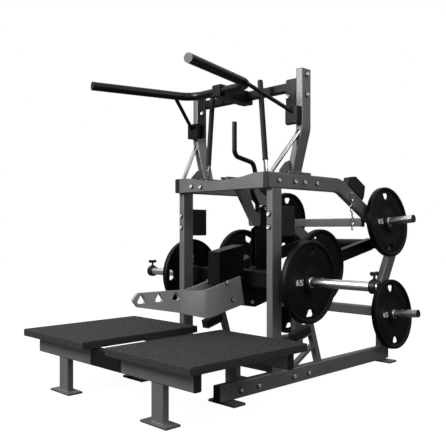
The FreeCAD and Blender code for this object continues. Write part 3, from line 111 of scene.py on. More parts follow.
def shell(points, close_rows=False, close_columns=True):
    """Vertices and quads of a surface through a grid of points, (rows, columns, 3).
    Closing joins the last row or column to the first."""
    rows, columns = points.shape[:2]
    index = np.arange(rows * columns).reshape(rows, columns)
    if close_rows:
        index = np.vstack([index, index[:1]])
    if close_columns:
        index = np.hstack([index, index[:, :1]])
    quads = np.stack([index[:-1, :-1], index[:-1, 1:], index[1:, 1:], index[1:, :-1]], -1)
    return points.reshape(-1, 3), quads.reshape(-1, 4)


def mesh_of(name, shells, sharp=35, fill=False):
    """One mesh of several shells. Points that coincide are merged, open ends filled if
    asked, faces turned outwards, and edges sharper than the angle kept crisp."""
    starts = np.cumsum([0] + [len(points) for points, quads in shells])
    mesh = bpy.data.meshes.new(name)
    mesh.from_pydata(np.vstack([points for points, quads in shells]), [],
                     np.vstack([quads + start for (points, quads), start
                                in zip(shells, starts)]).tolist())
    work = bmesh.new()
    work.from_mesh(mesh)
    bmesh.ops.remove_doubles(work, verts=work.verts, dist=1e-6)
    if fill:
        bmesh.ops.holes_fill(work, edges=[e for e in work.edges if e.is_boundary], sides=0)
    bmesh.ops.recalc_face_normals(work, faces=work.faces)
    work.to_mesh(mesh)
    work.free()
    mesh.polygons.foreach_set("use_smooth", np.ones(len(mesh.polygons), bool))
    mesh.set_sharp_from_angle(angle=math.radians(sharp))
    return mesh


def shown(name, mesh):
    """An object for a mesh, linked to the scene."""
    made = bpy.data.objects.new(name, mesh)
    bpy.context.scene.collection.objects.link(made)
    return made


paper, tree = new_material("white_paper_sweep")
glow = add(tree, "ShaderNodeEmission", in_Strength=PAPER_GLOW)
matt = add(tree, "ShaderNodeBsdfDiffuse", in_Color=shade(PAPER_MATT))
lit = add(tree, "ShaderNodeAddShader", {0: glow.outputs[0], 1: matt.outputs[0]})
dim = add(tree, "ShaderNodeBsdfDiffuse", in_Color=shade(PAPER_MATT))
ray = add(tree, "ShaderNodeLightPath")
mixed = add(tree, "ShaderNodeMixShader", {0: ray.outputs["Is Camera Ray"], 1: dim.outputs[0],
                                          2: lit.outputs[0]})
add(tree, "ShaderNodeOutputMaterial", {"Surface": mixed.outputs[0]})
side = np.linspace(-PAPER_HALF, PAPER_HALF, 2)
corners = np.stack([*np.meshgrid(side, side, indexing="ij"), np.zeros((2, 2))], -1)
floor = shown("paper_floor", mesh_of("paper_floor", [shell(corners, False, False)]))
floor.data.flip_normals()
floor.data.materials.append(paper)
floor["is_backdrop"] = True

world = bpy.data.worlds.new("studio")
bpy.context.scene.world = world
world.use_nodes = True
tree = world.node_tree
tree.nodes.clear()
heading = add(tree, "ShaderNodeTexCoord").outputs["Generated"]
height = add(tree, "ShaderNodeSeparateXYZ", {0: heading})
room = add(tree, "ShaderNodeValToRGB", {0: height.outputs["Z"]})
bands = room.color_ramp
bands.elements[0].color = (ROOM_LOW, ROOM_LOW, ROOM_LOW, 1)
bands.elements[1].color = (ROOM_HIGH, ROOM_HIGH, ROOM_HIGH, 1)
bands.elements[0].position = 0.02
bands.elements[1].position = 0.75
middle = bands.elements.new(0.25)
middle.color = (ROOM_MIDDLE, ROOM_MIDDLE, ROOM_MIDDLE, 1)
mirrored = add(tree, "ShaderNodeBackground", {"Color": room.outputs[0]})
white = add(tree, "ShaderNodeBackground", in_Color=(1, 1, 1, 1))
ray = add(tree, "ShaderNodeLightPath")
mixed = add(tree, "ShaderNodeMixShader", {0: ray.outputs["Is Camera Ray"],
                                          1: mirrored.outputs[0], 2: white.outputs[0]})
add(tree, "ShaderNodeOutputWorld", {"Surface": mixed.outputs[0]})


def softbox(name, spot, aim, wide, tall, watts):
    """A rectangular area light at a spot, turned to a point."""
    data = bpy.data.lights.new(name, "AREA")
    data.shape = "RECTANGLE"
    data.size = wide
    data.size_y = tall
    data.energy = watts
    lamp = bpy.data.objects.new(name, data)
    bpy.context.scene.collection.objects.link(lamp)
    lamp.location = spot
    towards = Vector(aim) - Vector(spot)
    lamp.rotation_mode = "QUATERNION"
    lamp.rotation_quaternion = towards.to_track_quat("-Z", "Y")


softbox("key_light", (-1.2, -4.6, 3.4), (0, 0, 0.7), 2.2, 2.2, KEY_WATTS)
softbox("fill_light", (4.6, 1.0, 2.8), (0, 0, 0.8), 1.8, 1.8, FILL_WATTS)
softbox("strip_light", (3.4, -3.0, 2.3), (0, 0, 0.8), 0.5, 2.6, STRIP_WATTS)


# The camera stands at the platform's right front corner, at the height of a seated
# viewer, and looks level across the machine with a 50 mm lens.

LENS = 50.284
CAMERA_SPOT = (2.54548, -2.76666, 0.85368)
CAMERA_TURN = 45.22
CAMERA_RISE = 0.016

camera_data = bpy.data.cameras.new("photo_camera")
camera_data.lens = LENS
camera_data.sensor_width = 36
camera_data.shift_y = CAMERA_RISE
camera_data.clip_end = 60
camera = bpy.data.objects.new("photo_camera", camera_data)
bpy.context.scene.collection.objects.link(camera)
camera.location = CAMERA_SPOT
camera.rotation_euler = (math.radians(90), 0, math.radians(CAMERA_TURN))
bpy.context.scene.camera = camera
bpy.context.scene.view_settings.view_transform = "Standard"


# Frame: mild steel tube, laser-cut and welded, with a satin powder coat that holds
# fine aluminium flakes. The flakes give a soft metallic sheen, and the fused powder a
# slight orange peel.

FRAME_GREY = "#7c7c7d"
FRAME_GREY_DARK = "#68686a"
FLAKE_MM = 0.9
PEEL_MM = 3.0


def powder_coat(name, light, dark, metal, rough, flake_mm, peel_mm, peel, gloss=0.5):
    """Powder coat: clouds of two close greys, roughness that varies with its flakes, and
    a bump of fused grains. Scales are millimetres on the piece."""
    material, tree = new_material(name)
    place = add(tree, "ShaderNodeTexCoord").outputs["Object"]
    clouds = add(tree, "ShaderNodeTexNoise", {"Vector": place}, in_Scale=9.0, in_Detail=4.0)
    colour = add(tree, "ShaderNodeMix", {"Factor": clouds.outputs[0]}, data_type="RGBA",
                 in_6=shade(dark), in_7=shade(light))
    flakes = add(tree, "ShaderNodeTexVoronoi", {"Vector": place}, in_Scale=1000 / flake_mm)
    sheen = add(tree, "ShaderNodeMapRange", {"Value": flakes.outputs["Distance"]},
                in_From_Max=0.7, in_To_Min=rough - 0.06, in_To_Max=rough + 0.06)
    grains = add(tree, "ShaderNodeTexNoise", {"Vector": place}, in_Scale=1000 / peel_mm,
                 in_Detail=2.0)
    bump = add(tree, "ShaderNodeBump", {"Height": grains.outputs[0]}, in_Strength=peel,
               in_Distance=0.0006)
    coat = add(tree, "ShaderNodeBsdfPrincipled",
               {"Base Color": colour.outputs[2], "Roughness": sheen.outputs[0],
                "Normal": bump.outputs[0]}, in_Metallic=metal,
               in_Specular_IOR_Level=gloss)
    add(tree, "ShaderNodeOutputMaterial", {"Surface": coat.outputs[0]})
    return material


def dress(material, *names):
    """Gives CAD nodes a material in every slot."""
    for name in names:
        data = NODES[name].data
        if not data.materials:
            data.materials.append(material)
        for i in range(len(data.materials)):
            data.materials[i] = material


BODY_OF = {node: body for body, members in frame["record"]["behaviour"]["bodies"].items()
           for node in members}
SLOT_OF = {part["node"]: part["material_slot"] for part in frame["record"]["subparts"]}


def fit(piece, material, body, slot, *nodes):
    """Gives a piece its material and body, and hides the CAD nodes that it stands for. The slot
    is not used.
    """
    if material is not None:
        piece.data.materials.append(material)
    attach(piece, body)
    if nodes:
        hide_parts(*nodes)
    return piece


def eased(node, material, radius_mm, steps=2):
    """A copy of a CAD node's mesh with its triangles joined into flat faces, and every
    edge over 38 degrees rounded to a small radius, as cut and blasted steel has."""
    work = bmesh.new()
    work.from_mesh(NODES[node].data)
    bmesh.ops.remove_doubles(work, verts=work.verts, dist=2e-6)
    bmesh.ops.dissolve_limit(work, angle_limit=math.radians(0.6), verts=work.verts,
                             edges=work.edges)
    mesh = bpy.data.meshes.new(node + "_eased")
    work.to_mesh(mesh)
    work.free()
    mesh.polygons.foreach_set("use_smooth", np.ones(len(mesh.polygons), bool))
    piece = shown(node + "_eased", mesh)
    round_off = piece.modifiers.new("eased_edges", "BEVEL")
    round_off.width = radius_mm / 1000
    round_off.segments = steps
    round_off.limit_method = "ANGLE"
    round_off.angle_limit = math.radians(38)
    flat = piece.modifiers.new("flat_faces", "WEIGHTED_NORMAL")
    flat.keep_sharp = True
    return fit(piece, material, BODY_OF[node], SLOT_OF[node], node)


frame_coat = powder_coat("grey_flake_powder_coat", FRAME_GREY, FRAME_GREY_DARK, 0.55, 0.36,
                         FLAKE_MM, PEEL_MM, 0.25)
dress(frame_coat, "base_rails", "base_cross_tube", "front_uprights", "side_beams",
      "rear_uprights", "rear_lower_rail", "rear_upper_rail", "masts",
      "platform_front_beams", "platform_rear_beam", "platform_legs")
for node in ("front_cross_beam", "mast_foot_plates", "foot_plates", "bumper_stands",
             "catch_arm", "front_beam_brackets"):
    eased(node, frame_coat, 1.5)


# Weld beads where the frame's tubes meet: round ripples of filler, one for each dab of
# the torch, under the same grey coat.

BEAD_RADIUS = 0.0026
RIPPLE = 0.005
ORIGIN_Y = 251


def at(x, y, z):
    """A point in metres from millimetres across, back from the uprights' front, and up."""
    return np.array([x, y - ORIGIN_Y, z]) / 1000


def wire(path, normal, radius, closed, steps):
    """A round wire along a flat path: each point of the path carries a circle, square to
    the path, in a plane that holds the normal."""
    path = np.asarray(path, float)
    ahead = np.roll(path, -1, 0) - np.roll(path, 1, 0) if closed else np.gradient(path, axis=0)
    ahead /= np.linalg.norm(ahead, axis=1, keepdims=True)
    normal = np.asarray(normal, float)
    across = np.cross(ahead, normal)
    turn = np.linspace(0, 2 * np.pi, steps, endpoint=False)
    radius = np.broadcast_to(radius, len(path))[:, None, None]
    ring = (np.cos(turn)[None, :, None] * across[:, None]
            + np.sin(turn)[None, :, None] * normal)
    return shell(path[:, None] + radius * ring, close_rows=closed)


def bead(start, end):
    """A weld bead between two points: its radius rises and falls once a ripple, and
    shrinks to nothing at both ends."""
    start, end = np.asarray(start), np.asarray(end)
    long = np.linalg.norm(end - start)
    count = max(int(3 * long / RIPPLE), 6)
    along = np.linspace(0, 1, count)
    path = start + along[:, None] * (end - start)
    radius = BEAD_RADIUS * (1 + 0.16 * np.cos(2 * np.pi * along * long / RIPPLE))
    radius[[0, -1]] = 0
    heading = (end - start) / long
    normal = np.cross(heading, (0, 0, 1) if abs(heading[2]) < 0.9 else (1, 0, 0))
    return wire(path, normal / np.linalg.norm(normal), radius, False, 6)


def weld(*corners):
    """Beads from each corner to the next."""
    return [bead(a, b) for a, b in zip(corners[:-1], corners[1:])]


def ring_of(x, low_y, high_y, low_z, high_z):
    """The four corners of a tube's end on a plane across the machine, and the first again."""
    spots = [(low_y, low_z), (high_y, low_z), (high_y, high_z), (low_y, high_z), (low_y, low_z)]
    return [at(x, y, z) for y, z in spots]


beads = []
for side in (1, -1):
    for y in (0, 80):
        beads += weld(at(334 * side, y, 97), at(378 * side, y, 97))
        beads += weld(at(340 * side, y, 1083), at(378 * side, y, 1083))
    beads += weld(*ring_of(334 * side, 0, 44, 98, 182))
    beads += weld(*ring_of(334 * side, 1085, 1125, 290, 354))
    beads += weld(*ring_of(340 * side, 905, 945, 880, 934))
    for y in (1085, 1170):
        beads += weld(at(334 * side, y, 97), at(378 * side, y, 97))
    beads += weld(at(334 * side, 172, 1181), at(378 * side, 172, 1181),
                  at(378 * side, 252, 1181), at(334 * side, 252, 1181),
                  at(334 * side, 172, 1181))
    beads += weld(at(326 * side, 140, 1168), at(378 * side, 140, 1168))
    beads += weld(at(378 * side, 336, 1168), at(326 * side, 336, 1168))
    for x, y in ((351, -793), (206, -185)):
        beads += weld(at(x * side, y, 10), at((x + 84) * side, y, 10),
                      at((x + 84) * side, y + 38, 10), at(x * side, y + 38, 10),
                      at(x * side, y, 10))
fit(shown("frame_weld_beads", mesh_of("frame_weld_beads", beads, 60)), frame_coat, "frame",
    "frame_paint")


# Bolts: forged six-sided heads with a turned chamfer, in a pale zinc flake finish, each
# on a pressed black washer.

ZINC = "#dcdcdd"
ZINC_DULL = "#c2c2c3"
WASHER_BLACK = "#0c0c0d"
WASHER_BLACK_DARK = "#070707"
HEAD_FLAT = 9.5
HEAD_TALL = 9.0
WASHER_RADIUS = 15.5
WASHER_TALL = 2.6


def studs(name, spots, body, *nodes):
    """Bolts at (place, direction) spots: a washer each, and a head on it. The head's
    outline is a hexagon, whose distance from the middle is the flat's over the cosine of
    the angle past it, and its top leaves the corners at 30 degrees."""
    turn = np.linspace(0, 2 * np.pi, 24, endpoint=False)
    hexagon = HEAD_FLAT / np.cos((turn + np.pi / 6) % (np.pi / 3) - np.pi / 6)
    disc = np.ones_like(turn)
    seat = WASHER_TALL
    top = seat + HEAD_TALL
    washer = [(0, disc * 0), (0, disc * WASHER_RADIUS), (seat - 0.6, disc * WASHER_RADIUS),
              (seat, disc * (WASHER_RADIUS - 0.8)), (seat, disc * 0)]
    head = [(seat, disc * 0), (seat, hexagon),
            (top - (hexagon - HEAD_FLAT * 0.93) * 0.577, hexagon),
            (top, disc * HEAD_FLAT * 0.93), (top - 0.5, disc * HEAD_FLAT * 0.8),
            (top - 0.5, disc * 0)]
    for kind, rings, material in (("washers", washer, washer_black), ("heads", head, zinc)):
        rise = np.stack([np.broadcast_to(high, turn.shape) for high, reach in rings])
        reach = np.stack([reach for high, reach in rings])
        shells = []
        for spot, axis in spots:
            axis = np.asarray(axis, float)
            across = np.cross(axis, (0, 0, 1) if abs(axis[2]) < 0.9 else (1, 0, 0))
            up = np.cross(axis, across)
            shells.append(shell((rise[..., None] * axis + (reach * np.cos(turn))[..., None]
                                 * across + (reach * np.sin(turn))[..., None] * up) / 1000
                                + spot))
        piece = shown(f"{name}_{kind}", mesh_of(f"{name}_{kind}", shells, 25))
        fit(piece, material, body, "chrome", *(nodes if kind == "heads" else ()))


zinc = powder_coat("zinc_flake_finish", ZINC, ZINC_DULL, 0.6, 0.34, 0.7, 1.2, 0.2)
washer_black = powder_coat("black_washers", WASHER_BLACK, WASHER_BLACK_DARK, 0.0, 0.45, 0.7,
                           1.2, 0.2)
spots = [(at(x, -31, z), (0, -1, 0)) for x, z in ((-225, 1117), (-146, 1110))]
for side in (1, -1):
    outward = (side, 0, 0)
    spots += [(at(378 * side, y, 52), outward) for y in (-241, -109, 182, 312)]
    spots += [(at(378 * side, y, 1125.5), outward) for y in (51, 188, 273, 387)]
    spots += [(at(441.9 * side, 212, z), outward) for z in (1599, 1710)]
    spots.append((at(348 * side, 172, 1594), (0, -1, 0)))
    spots += [(at(356 * side, 0, z), (0, -1, 0)) for z in (943, 873)]
studs("frame_bolt", spots, "frame", "frame_bolts")
spots = [(at(74 * side, y, z), (side, 0, 0)) for side in (1, -1)
         for y, z in ((-34, 564), (10, 464))]
spots += [(at(66 * side, 177, 436), (side, 0, 0)) for side in (1, -1)]
studs("arm_bolt", spots, "belt_arm")


# Black-coated steel: the handles, the belt arm and the catch lever, bent and welded
# from tube and plate, with a semi-gloss black powder coat. The thin pads under the feet
# are the same black. The platform's front link is a real part, but its black is painted shade for
# the recess between the mats.

ARM_BLACK = "#060606"
ARM_BLACK_WORN = "#0b0b0b"

black_coat = powder_coat("black_powder_coat", ARM_BLACK_WORN, ARM_BLACK, 0.0, 0.30, 0.8,
                         2.6, 0.2, 0.28)
# platform_front_link: a real part whose black is painted shade, standing for the shaded recess
# between the mats.
dress(black_coat, "handle_crossbar", "handle_bar", "handle_braces", "arm_side_tubes",
      "arm_cross_tube", "release_lever", "arm_pivot_sleeve", "platform_front_link")
for node in ("handle_mounts", "handle_saddle", "arm_centre_block", "arm_tower", "catch_post",
             "pivot_bearings"):
    eased(node, black_coat, 2.0)
dress(black_coat, "foot_pads")


# Nose of the belt arm: two laser-cut plates, bent apart behind the belt holes, with a
# paler silver flake coat than the frame's.

NOSE_SILVER = "#adadae"
NOSE_SILVER_DARK = "#979798"

nose_coat = powder_coat("silver_flake_powder_coat", NOSE_SILVER, NOSE_SILVER_DARK, 0.45, 0.36,
                        FLAKE_MM, PEEL_MM, 0.25)
for side in ("right", "left"):
    eased(f"nose_plate_{side}", nose_coat, 1.2)


# Chrome: the lower part of the hand posts, the mast braces and the pins, turned from
# round bar, ground and plated. The plate horns are ground coarser, to a satin.

CHROME_TINT = "#dcdddf"
SATIN_TINT = "#eeeeef"
GRIND_MM = 0.6

def plated(name, tint, low, high, grain_mm):
    """Bright plating on ground steel: the roughness varies in fine rings of the grinding
    wheel, between two values."""
    material, tree = new_material(name)
    place = add(tree, "ShaderNodeTexCoord").outputs["Object"]
    rings = add(tree, "ShaderNodeTexNoise", {"Vector": place}, in_Scale=1000 / grain_mm,
                in_Detail=1.0)
    polish = add(tree, "ShaderNodeMapRange", {"Value": rings.outputs[0]}, in_To_Min=low,
                 in_To_Max=high)
    coat = add(tree, "ShaderNodeBsdfPrincipled", {"Roughness": polish.outputs[0]},
               in_Base_Color=shade(tint), in_Metallic=1.0)
    add(tree, "ShaderNodeOutputMaterial", {"Surface": coat.outputs[0]})
    return material


chrome = plated("ground_chrome_plate", CHROME_TINT, 0.05, 0.14, GRIND_MM)
dress(chrome, "hand_posts", "mast_braces", "catch_peg", "catch_pin", "arm_pivot_shaft")
satin_chrome = plated("satin_chrome_plate", SATIN_TINT, 0.24, 0.36, GRIND_MM)
dress(satin_chrome, "load_horns", "storage_horns")


# Hand grips: foam rubber sleeves on the two posts, moulded with a lip at the foot, a
# domed top and shallow rings for the fingers.

GRIP_FOOT = at(231.5, 111, 1248.6)
GRIP_TOP = at(191, 111, 1705)
GRIP_RADIUS = 0.0155
GRIP_RING = 0.012
RUBBER_BLACK = "#131313"
RUBBER_BLACK_DARK = "#0c0c0c"


def turned(profile, steps, root, axis):
    """A profile of (distance along, radius) turned about an axis: each of its points
    goes round a circle of its radius."""
    profile = np.asarray(profile, float)
    axis = np.asarray(axis, float) / np.linalg.norm(axis)
    across = np.cross(axis, (0, 0, 1) if abs(axis[2]) < 0.9 else (1, 0, 0))
    across /= np.linalg.norm(across)
    up = np.cross(axis, across)
    turn = np.linspace(0, 2 * np.pi, steps, endpoint=False)
    ring = np.cos(turn)[:, None] * across + np.sin(turn)[:, None] * up
    points = (np.asarray(root) + profile[:, 0, None, None] * axis
              + profile[:, 1, None, None] * ring[None])
    return shell(points)


rubber = powder_coat("moulded_black_rubber", RUBBER_BLACK, RUBBER_BLACK_DARK, 0.0, 0.55,
                     1.2, 2.0, 0.5, 0.3)
grips = []
for side in (1, -1):
    flip = np.array([side, 1, 1])
    along = (GRIP_TOP - GRIP_FOOT) * flip
    long = np.linalg.norm(along)
    reach = np.linspace(0.012, long - 0.010, 90)
    radius = GRIP_RADIUS - 0.0005 * np.cos(2 * np.pi * reach / GRIP_RING)
    dome = np.linspace(0, np.pi / 2, 6)
    foot = [(0, 0), (0, 0.0158), (0.002, 0.0168), (0.008, 0.0168), (0.010, 0.0156)]
    top = np.stack([long - 0.010 + 0.010 * np.sin(dome), GRIP_RADIUS * np.cos(dome)], 1)
    grips.append(turned([*foot, *zip(reach, radius), *top], 28, GRIP_FOOT * flip, along))
fit(shown("hand_grip_sleeves", mesh_of("hand_grip_sleeves", grips)), rubber, "frame",
    "black_rubber", "hand_grips")


# Rubber stops and pads, moulded with round edges and screwed to their seats, and the
# push-in caps of tubes and horns, moulded in a harder black plastic.

PAD_EDGE_MM = 6.0
CAP_BLACK = "#101010"
CAP_BLACK_DARK = "#0a0a0a"

for node in ("arm_stop_pads", "slope_pads"):
    eased(node, rubber, PAD_EDGE_MM, 4)
plastic = powder_coat("moulded_black_plastic", CAP_BLACK, CAP_BLACK_DARK, 0.0, 0.42, 1.0,
                      1.6, 0.4, 0.4)
dress(plastic, "tube_end_caps", "load_horn_caps")


# Platform mats: thick slabs of black rubber crumb, pressed with a binder, so that the
# top is rough with grains and the edges are broken.

CRUMB_MM = 5.0
CRUMB_HIGH = 0.0015
CRUMB_BLACK = "#040404"
CRUMB_GREY = "#262627"
MAT_EDGE = 0.004
MAT_CORNER = 0.004
EDGE_STEPS = 3


def crumb_slab(node, seed):
    """A slab as large as a CAD node. A grid covers its top, runs over a quarter-round
    edge and goes down the sides. The corners of the plan are rounded by drawing each
    corner square into a quarter disc, and the top rises and falls with seeded noise."""
    low, high = (np.array(corner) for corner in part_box(node))
    turn = np.linspace(0, np.pi / 2, EDGE_STEPS + 1)
    inset = np.concatenate([MAT_EDGE * (1 - np.sin(turn)), [0, 0]])
    depth = np.concatenate([MAT_EDGE * (1 - np.cos(turn)), np.array([0.5, 1]) * (high - low)[2]])
    rims = np.arange(len(inset) - 1, 0, -1)
    axes = []
    for i in (0, 1):
        count = int((high - low)[i] * 1000 / CRUMB_MM)
        inner = np.linspace(low[i] + inset[0], high[i] - inset[0], count)
        place = np.concatenate([low[i] + inset[rims], inner, high[i] - inset[rims[::-1]]])
        rim = np.concatenate([rims, np.zeros(count, int), rims[::-1]])
        axes.append((place, rim))
    x, y = np.meshgrid(axes[0][0], axes[1][0], indexing="ij")
    rim = np.maximum(*np.meshgrid(axes[0][1], axes[1][1], indexing="ij"))
    random = np.random.default_rng(seed)
    grains = random.normal(size=x.shape)
    grains = grains + 0.5 * (np.roll(grains, 1, 0) + np.roll(grains, 1, 1))
    z = high[2] - depth[rim] + np.where(rim == 0, CRUMB_HIGH * 0.5 * grains - CRUMB_HIGH, 0)
    flat = np.stack([x, y], -1)
    heart = np.clip(flat, low[:2] + MAT_CORNER, high[:2] - MAT_CORNER)
    away = flat - heart
    square = np.abs(away).max(-1)
    pull = np.where(square > 0, square / np.maximum(np.hypot(*np.moveaxis(away, -1, 0)), 1e-9), 1)
    flat = heart + away * pull[..., None]
    return shell(np.concatenate([flat, z[..., None]], -1), False, False)


crumb, tree = new_material("pressed_rubber_crumb")
place = add(tree, "ShaderNodeTexCoord").outputs["Object"]
cells = add(tree, "ShaderNodeTexVoronoi", {"Vector": place}, in_Scale=1000 / CRUMB_MM)
tone = add(tree, "ShaderNodeSeparateColor", {0: cells.outputs["Color"]})
spread = add(tree, "ShaderNodeValToRGB", {0: tone.outputs[0]})
spread.color_ramp.elements[0].color = shade(CRUMB_BLACK)
spread.color_ramp.elements[0].position = 0.35
spread.color_ramp.elements[1].color = shade(CRUMB_GREY)
dust = add(tree, "ShaderNodeTexNoise", {"Vector": place}, in_Scale=420.0, in_Detail=3.0)
bump = add(tree, "ShaderNodeBump", {"Height": cells.outputs["Distance"]}, in_Strength=0.9,
           in_Distance=0.0016, invert=True)
fine = add(tree, "ShaderNodeBump", {"Height": dust.outputs[0], "Normal": bump.outputs[0]},
           in_Strength=0.5, in_Distance=0.0006)
coat = add(tree, "ShaderNodeBsdfPrincipled",
           {"Base Color": spread.outputs[0], "Normal": fine.outputs[0]}, in_Roughness=0.72)
add(tree, "ShaderNodeOutputMaterial", {"Surface": coat.outputs[0]})
for seed, side in enumerate(("right", "left")):
    node = f"platform_mat_{side}"
    slab = mesh_of(f"crumb_mat_{side}", [crumb_slab(node, seed)], 60, fill=True)
    fit(shown(f"crumb_mat_{side}", slab), crumb, "frame", "black_rubber", node)


# Weight plates: grey iron castings, turned at the rim and hub, with two cast hand holes
# and a steel bush in the bore, under a satin black enamel. Raised numerals give 45 lb.

PLATE_BLACK = "#030303"
PLATE_BLACK_WORN = "#070707"
PLATE_THICK = 38
WEB_DEEP = 12
BUSH_RADIUS = 31
HOLE_MIDDLE = 167
NUMERAL_TALL = 0.042
NUMERAL_STRETCH = 2.05
NUMERAL_OUT = 0.098
NUMERAL_GREY = "#c4c4c4"
NUMERAL_GREY_DARK = "#b4b4b4"


def rounded(corners, radius, steps=5):
    """A convex outline with round corners: about each corner the arc's centre lies on
    the bisector, and the arc runs from one side's normal to the next side's."""
    corners = np.asarray(corners, float)
    ahead = np.roll(corners, -1, 0) - corners
    ahead /= np.linalg.norm(ahead, axis=1, keepdims=True)
    outward = np.stack([ahead[:, 1], -ahead[:, 0]], 1)
    before = np.roll(outward, 1, 0)
    bisector = before + outward
    bisector /= np.linalg.norm(bisector, axis=1, keepdims=True)
    reach = radius / (bisector * outward).sum(1, keepdims=True)
    share = np.linspace(0, 1, steps)[None, :, None]
    fan = before[:, None] * (1 - share) + outward[:, None] * share
    fan /= np.linalg.norm(fan, axis=2, keepdims=True)
    return ((corners - bisector * reach)[:, None] + radius * fan).reshape(-1, 2)


def half_profile():
    """Half of a plate's section, from the bore at its middle plane out to the rim, as
    (half thickness, radius). Each step of the casting has rounded corners."""
    turn = np.linspace(0, np.pi / 2, 4)
    half = PLATE_THICK / 2
    floor = half - WEB_DEEP
    hub = [(half - 3 + 3 * np.sin(a), 58 + 3 * np.cos(a)) for a in turn[::-1]]
    fall = [(floor + 4 - 4 * np.sin(a), 66 - 4 * np.cos(a)) for a in turn]
    swell = [(floor + 1.6, 128), (floor + 1.6, 186)]
    climb = [(floor + 6 - 6 * np.cos(a), 198 + 6 * np.sin(a)) for a in turn]
    rim = [(half - 2, 206.5), (half, 209), (half, 217)]
    edge = [(half - 8 + 8 * np.cos(a), 217 + 8 * np.sin(a)) for a in turn]
    return np.array([(half, 26), *hub, *fall, (floor, 120), *swell, (floor, 194), *climb,
                     *rim, *edge])


front = half_profile()
middle = PLATE_THICK / 2
section = np.concatenate([front + (middle, 0), np.stack([middle - front[::-1, 0],
                                                         front[::-1, 1]], 1)]) / 1000
turn = np.linspace(0, 2 * np.pi, 128, endpoint=False)
body = np.stack([np.broadcast_to(section[:, None, 0], (len(section), 128)),
                 section[:, None, 1] * np.sin(turn), section[:, None, 1] * np.cos(turn)], -1)
blank = shown("plate_blank", mesh_of("plate_blank", [shell(body, close_rows=True)]))
hole = rounded([(-22, -20), (22, -20), (42, 20), (-42, 20)], 11)
cutters = []
for side in (1, -1):
    outline = (hole + (0, HOLE_MIDDLE)) * side / 1000
    walls = [np.column_stack([np.full(len(outline), x), outline]) for x in (-0.01, 0.05)]
    cutters.append(shell(np.stack(walls)))
cutter = shown("hole_cutter", mesh_of("hole_cutter", cutters, fill=True))
cast = blank.modifiers.new("hand_holes", "BOOLEAN")
cast.object = cutter
cast.operation = "DIFFERENCE"
cast.solver = "EXACT"
soften = blank.modifiers.new("hole_lips", "BEVEL")
soften.width = 0.0022
soften.segments = 2
soften.limit_method = "ANGLE"
soften.angle_limit = math.radians(50)
bpy.context.view_layer.update()
plate_mesh = bpy.data.meshes.new_from_object(
    blank.evaluated_get(bpy.context.evaluated_depsgraph_get()))
bpy.data.objects.remove(blank)
bpy.data.objects.remove(cutter)

letters = bpy.data.curves.new("numerals", "FONT")
letters.body = "45"
letters.size = NUMERAL_TALL
letters.extrude = 0.0006
letters.offset = 0.0011
letters.align_x = "CENTER"
letters.align_y = "CENTER"
sign = shown("numerals", letters)
bpy.context.view_layer.update()
sign_mesh = bpy.data.meshes.new_from_object(
    sign.evaluated_get(bpy.context.evaluated_depsgraph_get()))
bpy.data.objects.remove(sign)

enamel = powder_coat("satin_black_enamel", PLATE_BLACK_WORN, PLATE_BLACK, 0.0, 0.42, 1.4,
                     4.0, 0.5, 0.16)
print_grey = powder_coat("pale_grey_print", NUMERAL_GREY, NUMERAL_GREY_DARK, 0.0, 0.5,
                         1.0, 2.0, 0.2)
web_face = (PLATE_THICK - WEB_DEEP) / 1000
upright_sign = Matrix(((0, 0, 1, 0), (NUMERAL_STRETCH, 0, 0, 0), (0, 1, 0, 0), (0, 0, 0, 1)))
for node, angle, spin in (
        ("load_plate_outer_right", 0, 0), ("load_plate_outer_left", 180, 90),
        ("load_plate_inner_right", 0, 20), ("load_plate_inner_left", 180, 20),
        ("stored_plate_upper_right", -6, 0), ("stored_plate_lower_right", -6, 0),
        ("stored_plate_upper_left", -174, 0), ("stored_plate_lower_left", -174, 0)):
    low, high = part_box(node)
    turned_by = (Matrix.Rotation(math.radians(angle), 4, "Y")
                 @ Matrix.Rotation(math.radians(spin), 4, "X"))
    centre = (low + high) / 2 - turned_by @ Vector((PLATE_THICK / 2000, 0, 0))
    spot = Matrix.Translation(centre) @ turned_by
    work = bmesh.new()
    work.from_mesh(plate_mesh)
    for sideways, face, flat in ((-1, web_face, 1), (1, web_face, 1), (-1, WEB_DEEP / 1000, -1),
                                 (1, WEB_DEEP / 1000, -1)):
        copy = sign_mesh.copy()
        if flat < 0:
            copy.transform(Matrix.Rotation(math.pi, 4, "Y"))
        copy.transform(Matrix.Translation((face, sideways * NUMERAL_OUT, 0)) @ upright_sign)
        count = len(work.faces)
        work.from_mesh(copy)
        work.faces.ensure_lookup_table()
        for made in work.faces[count:]:
            made.material_index = 1
        bpy.data.meshes.remove(copy)
    mesh = bpy.data.meshes.new(node + "_cast")
    work.to_mesh(mesh)
    work.free()
    mesh.transform(spot)
    mesh.polygons.foreach_set("use_smooth", np.ones(len(mesh.polygons), bool))
    mesh.set_sharp_from_angle(angle=math.radians(40))
    piece = shown(node + "_cast", mesh)
    mesh.materials.append(enamel)
    mesh.materials.append(print_grey)
    fit(piece, None, BODY_OF[node], SLOT_OF[node], node)
    bush = turned([(0.001, 0.0254), (0.001, 0.030), (0.037, 0.030), (0.037, BUSH_RADIUS / 1000),
                   (0.0395, BUSH_RADIUS / 1000 - 0.001), (0.0395, 0.0262), (0.0385, 0.0254)],
                  48, centre, turned_by @ Vector((1, 0, 0)))
    fit(shown(node + "_bush", mesh_of(node + "_bush", [bush])), chrome, BODY_OF[node], "chrome")


# Collars on the outer horns: a cast ring with a T-shaped thumb screw, in black oxide.

COLLAR_BLACK = "#1d1d1f"
COLLAR_BLACK_DARK = "#141416"

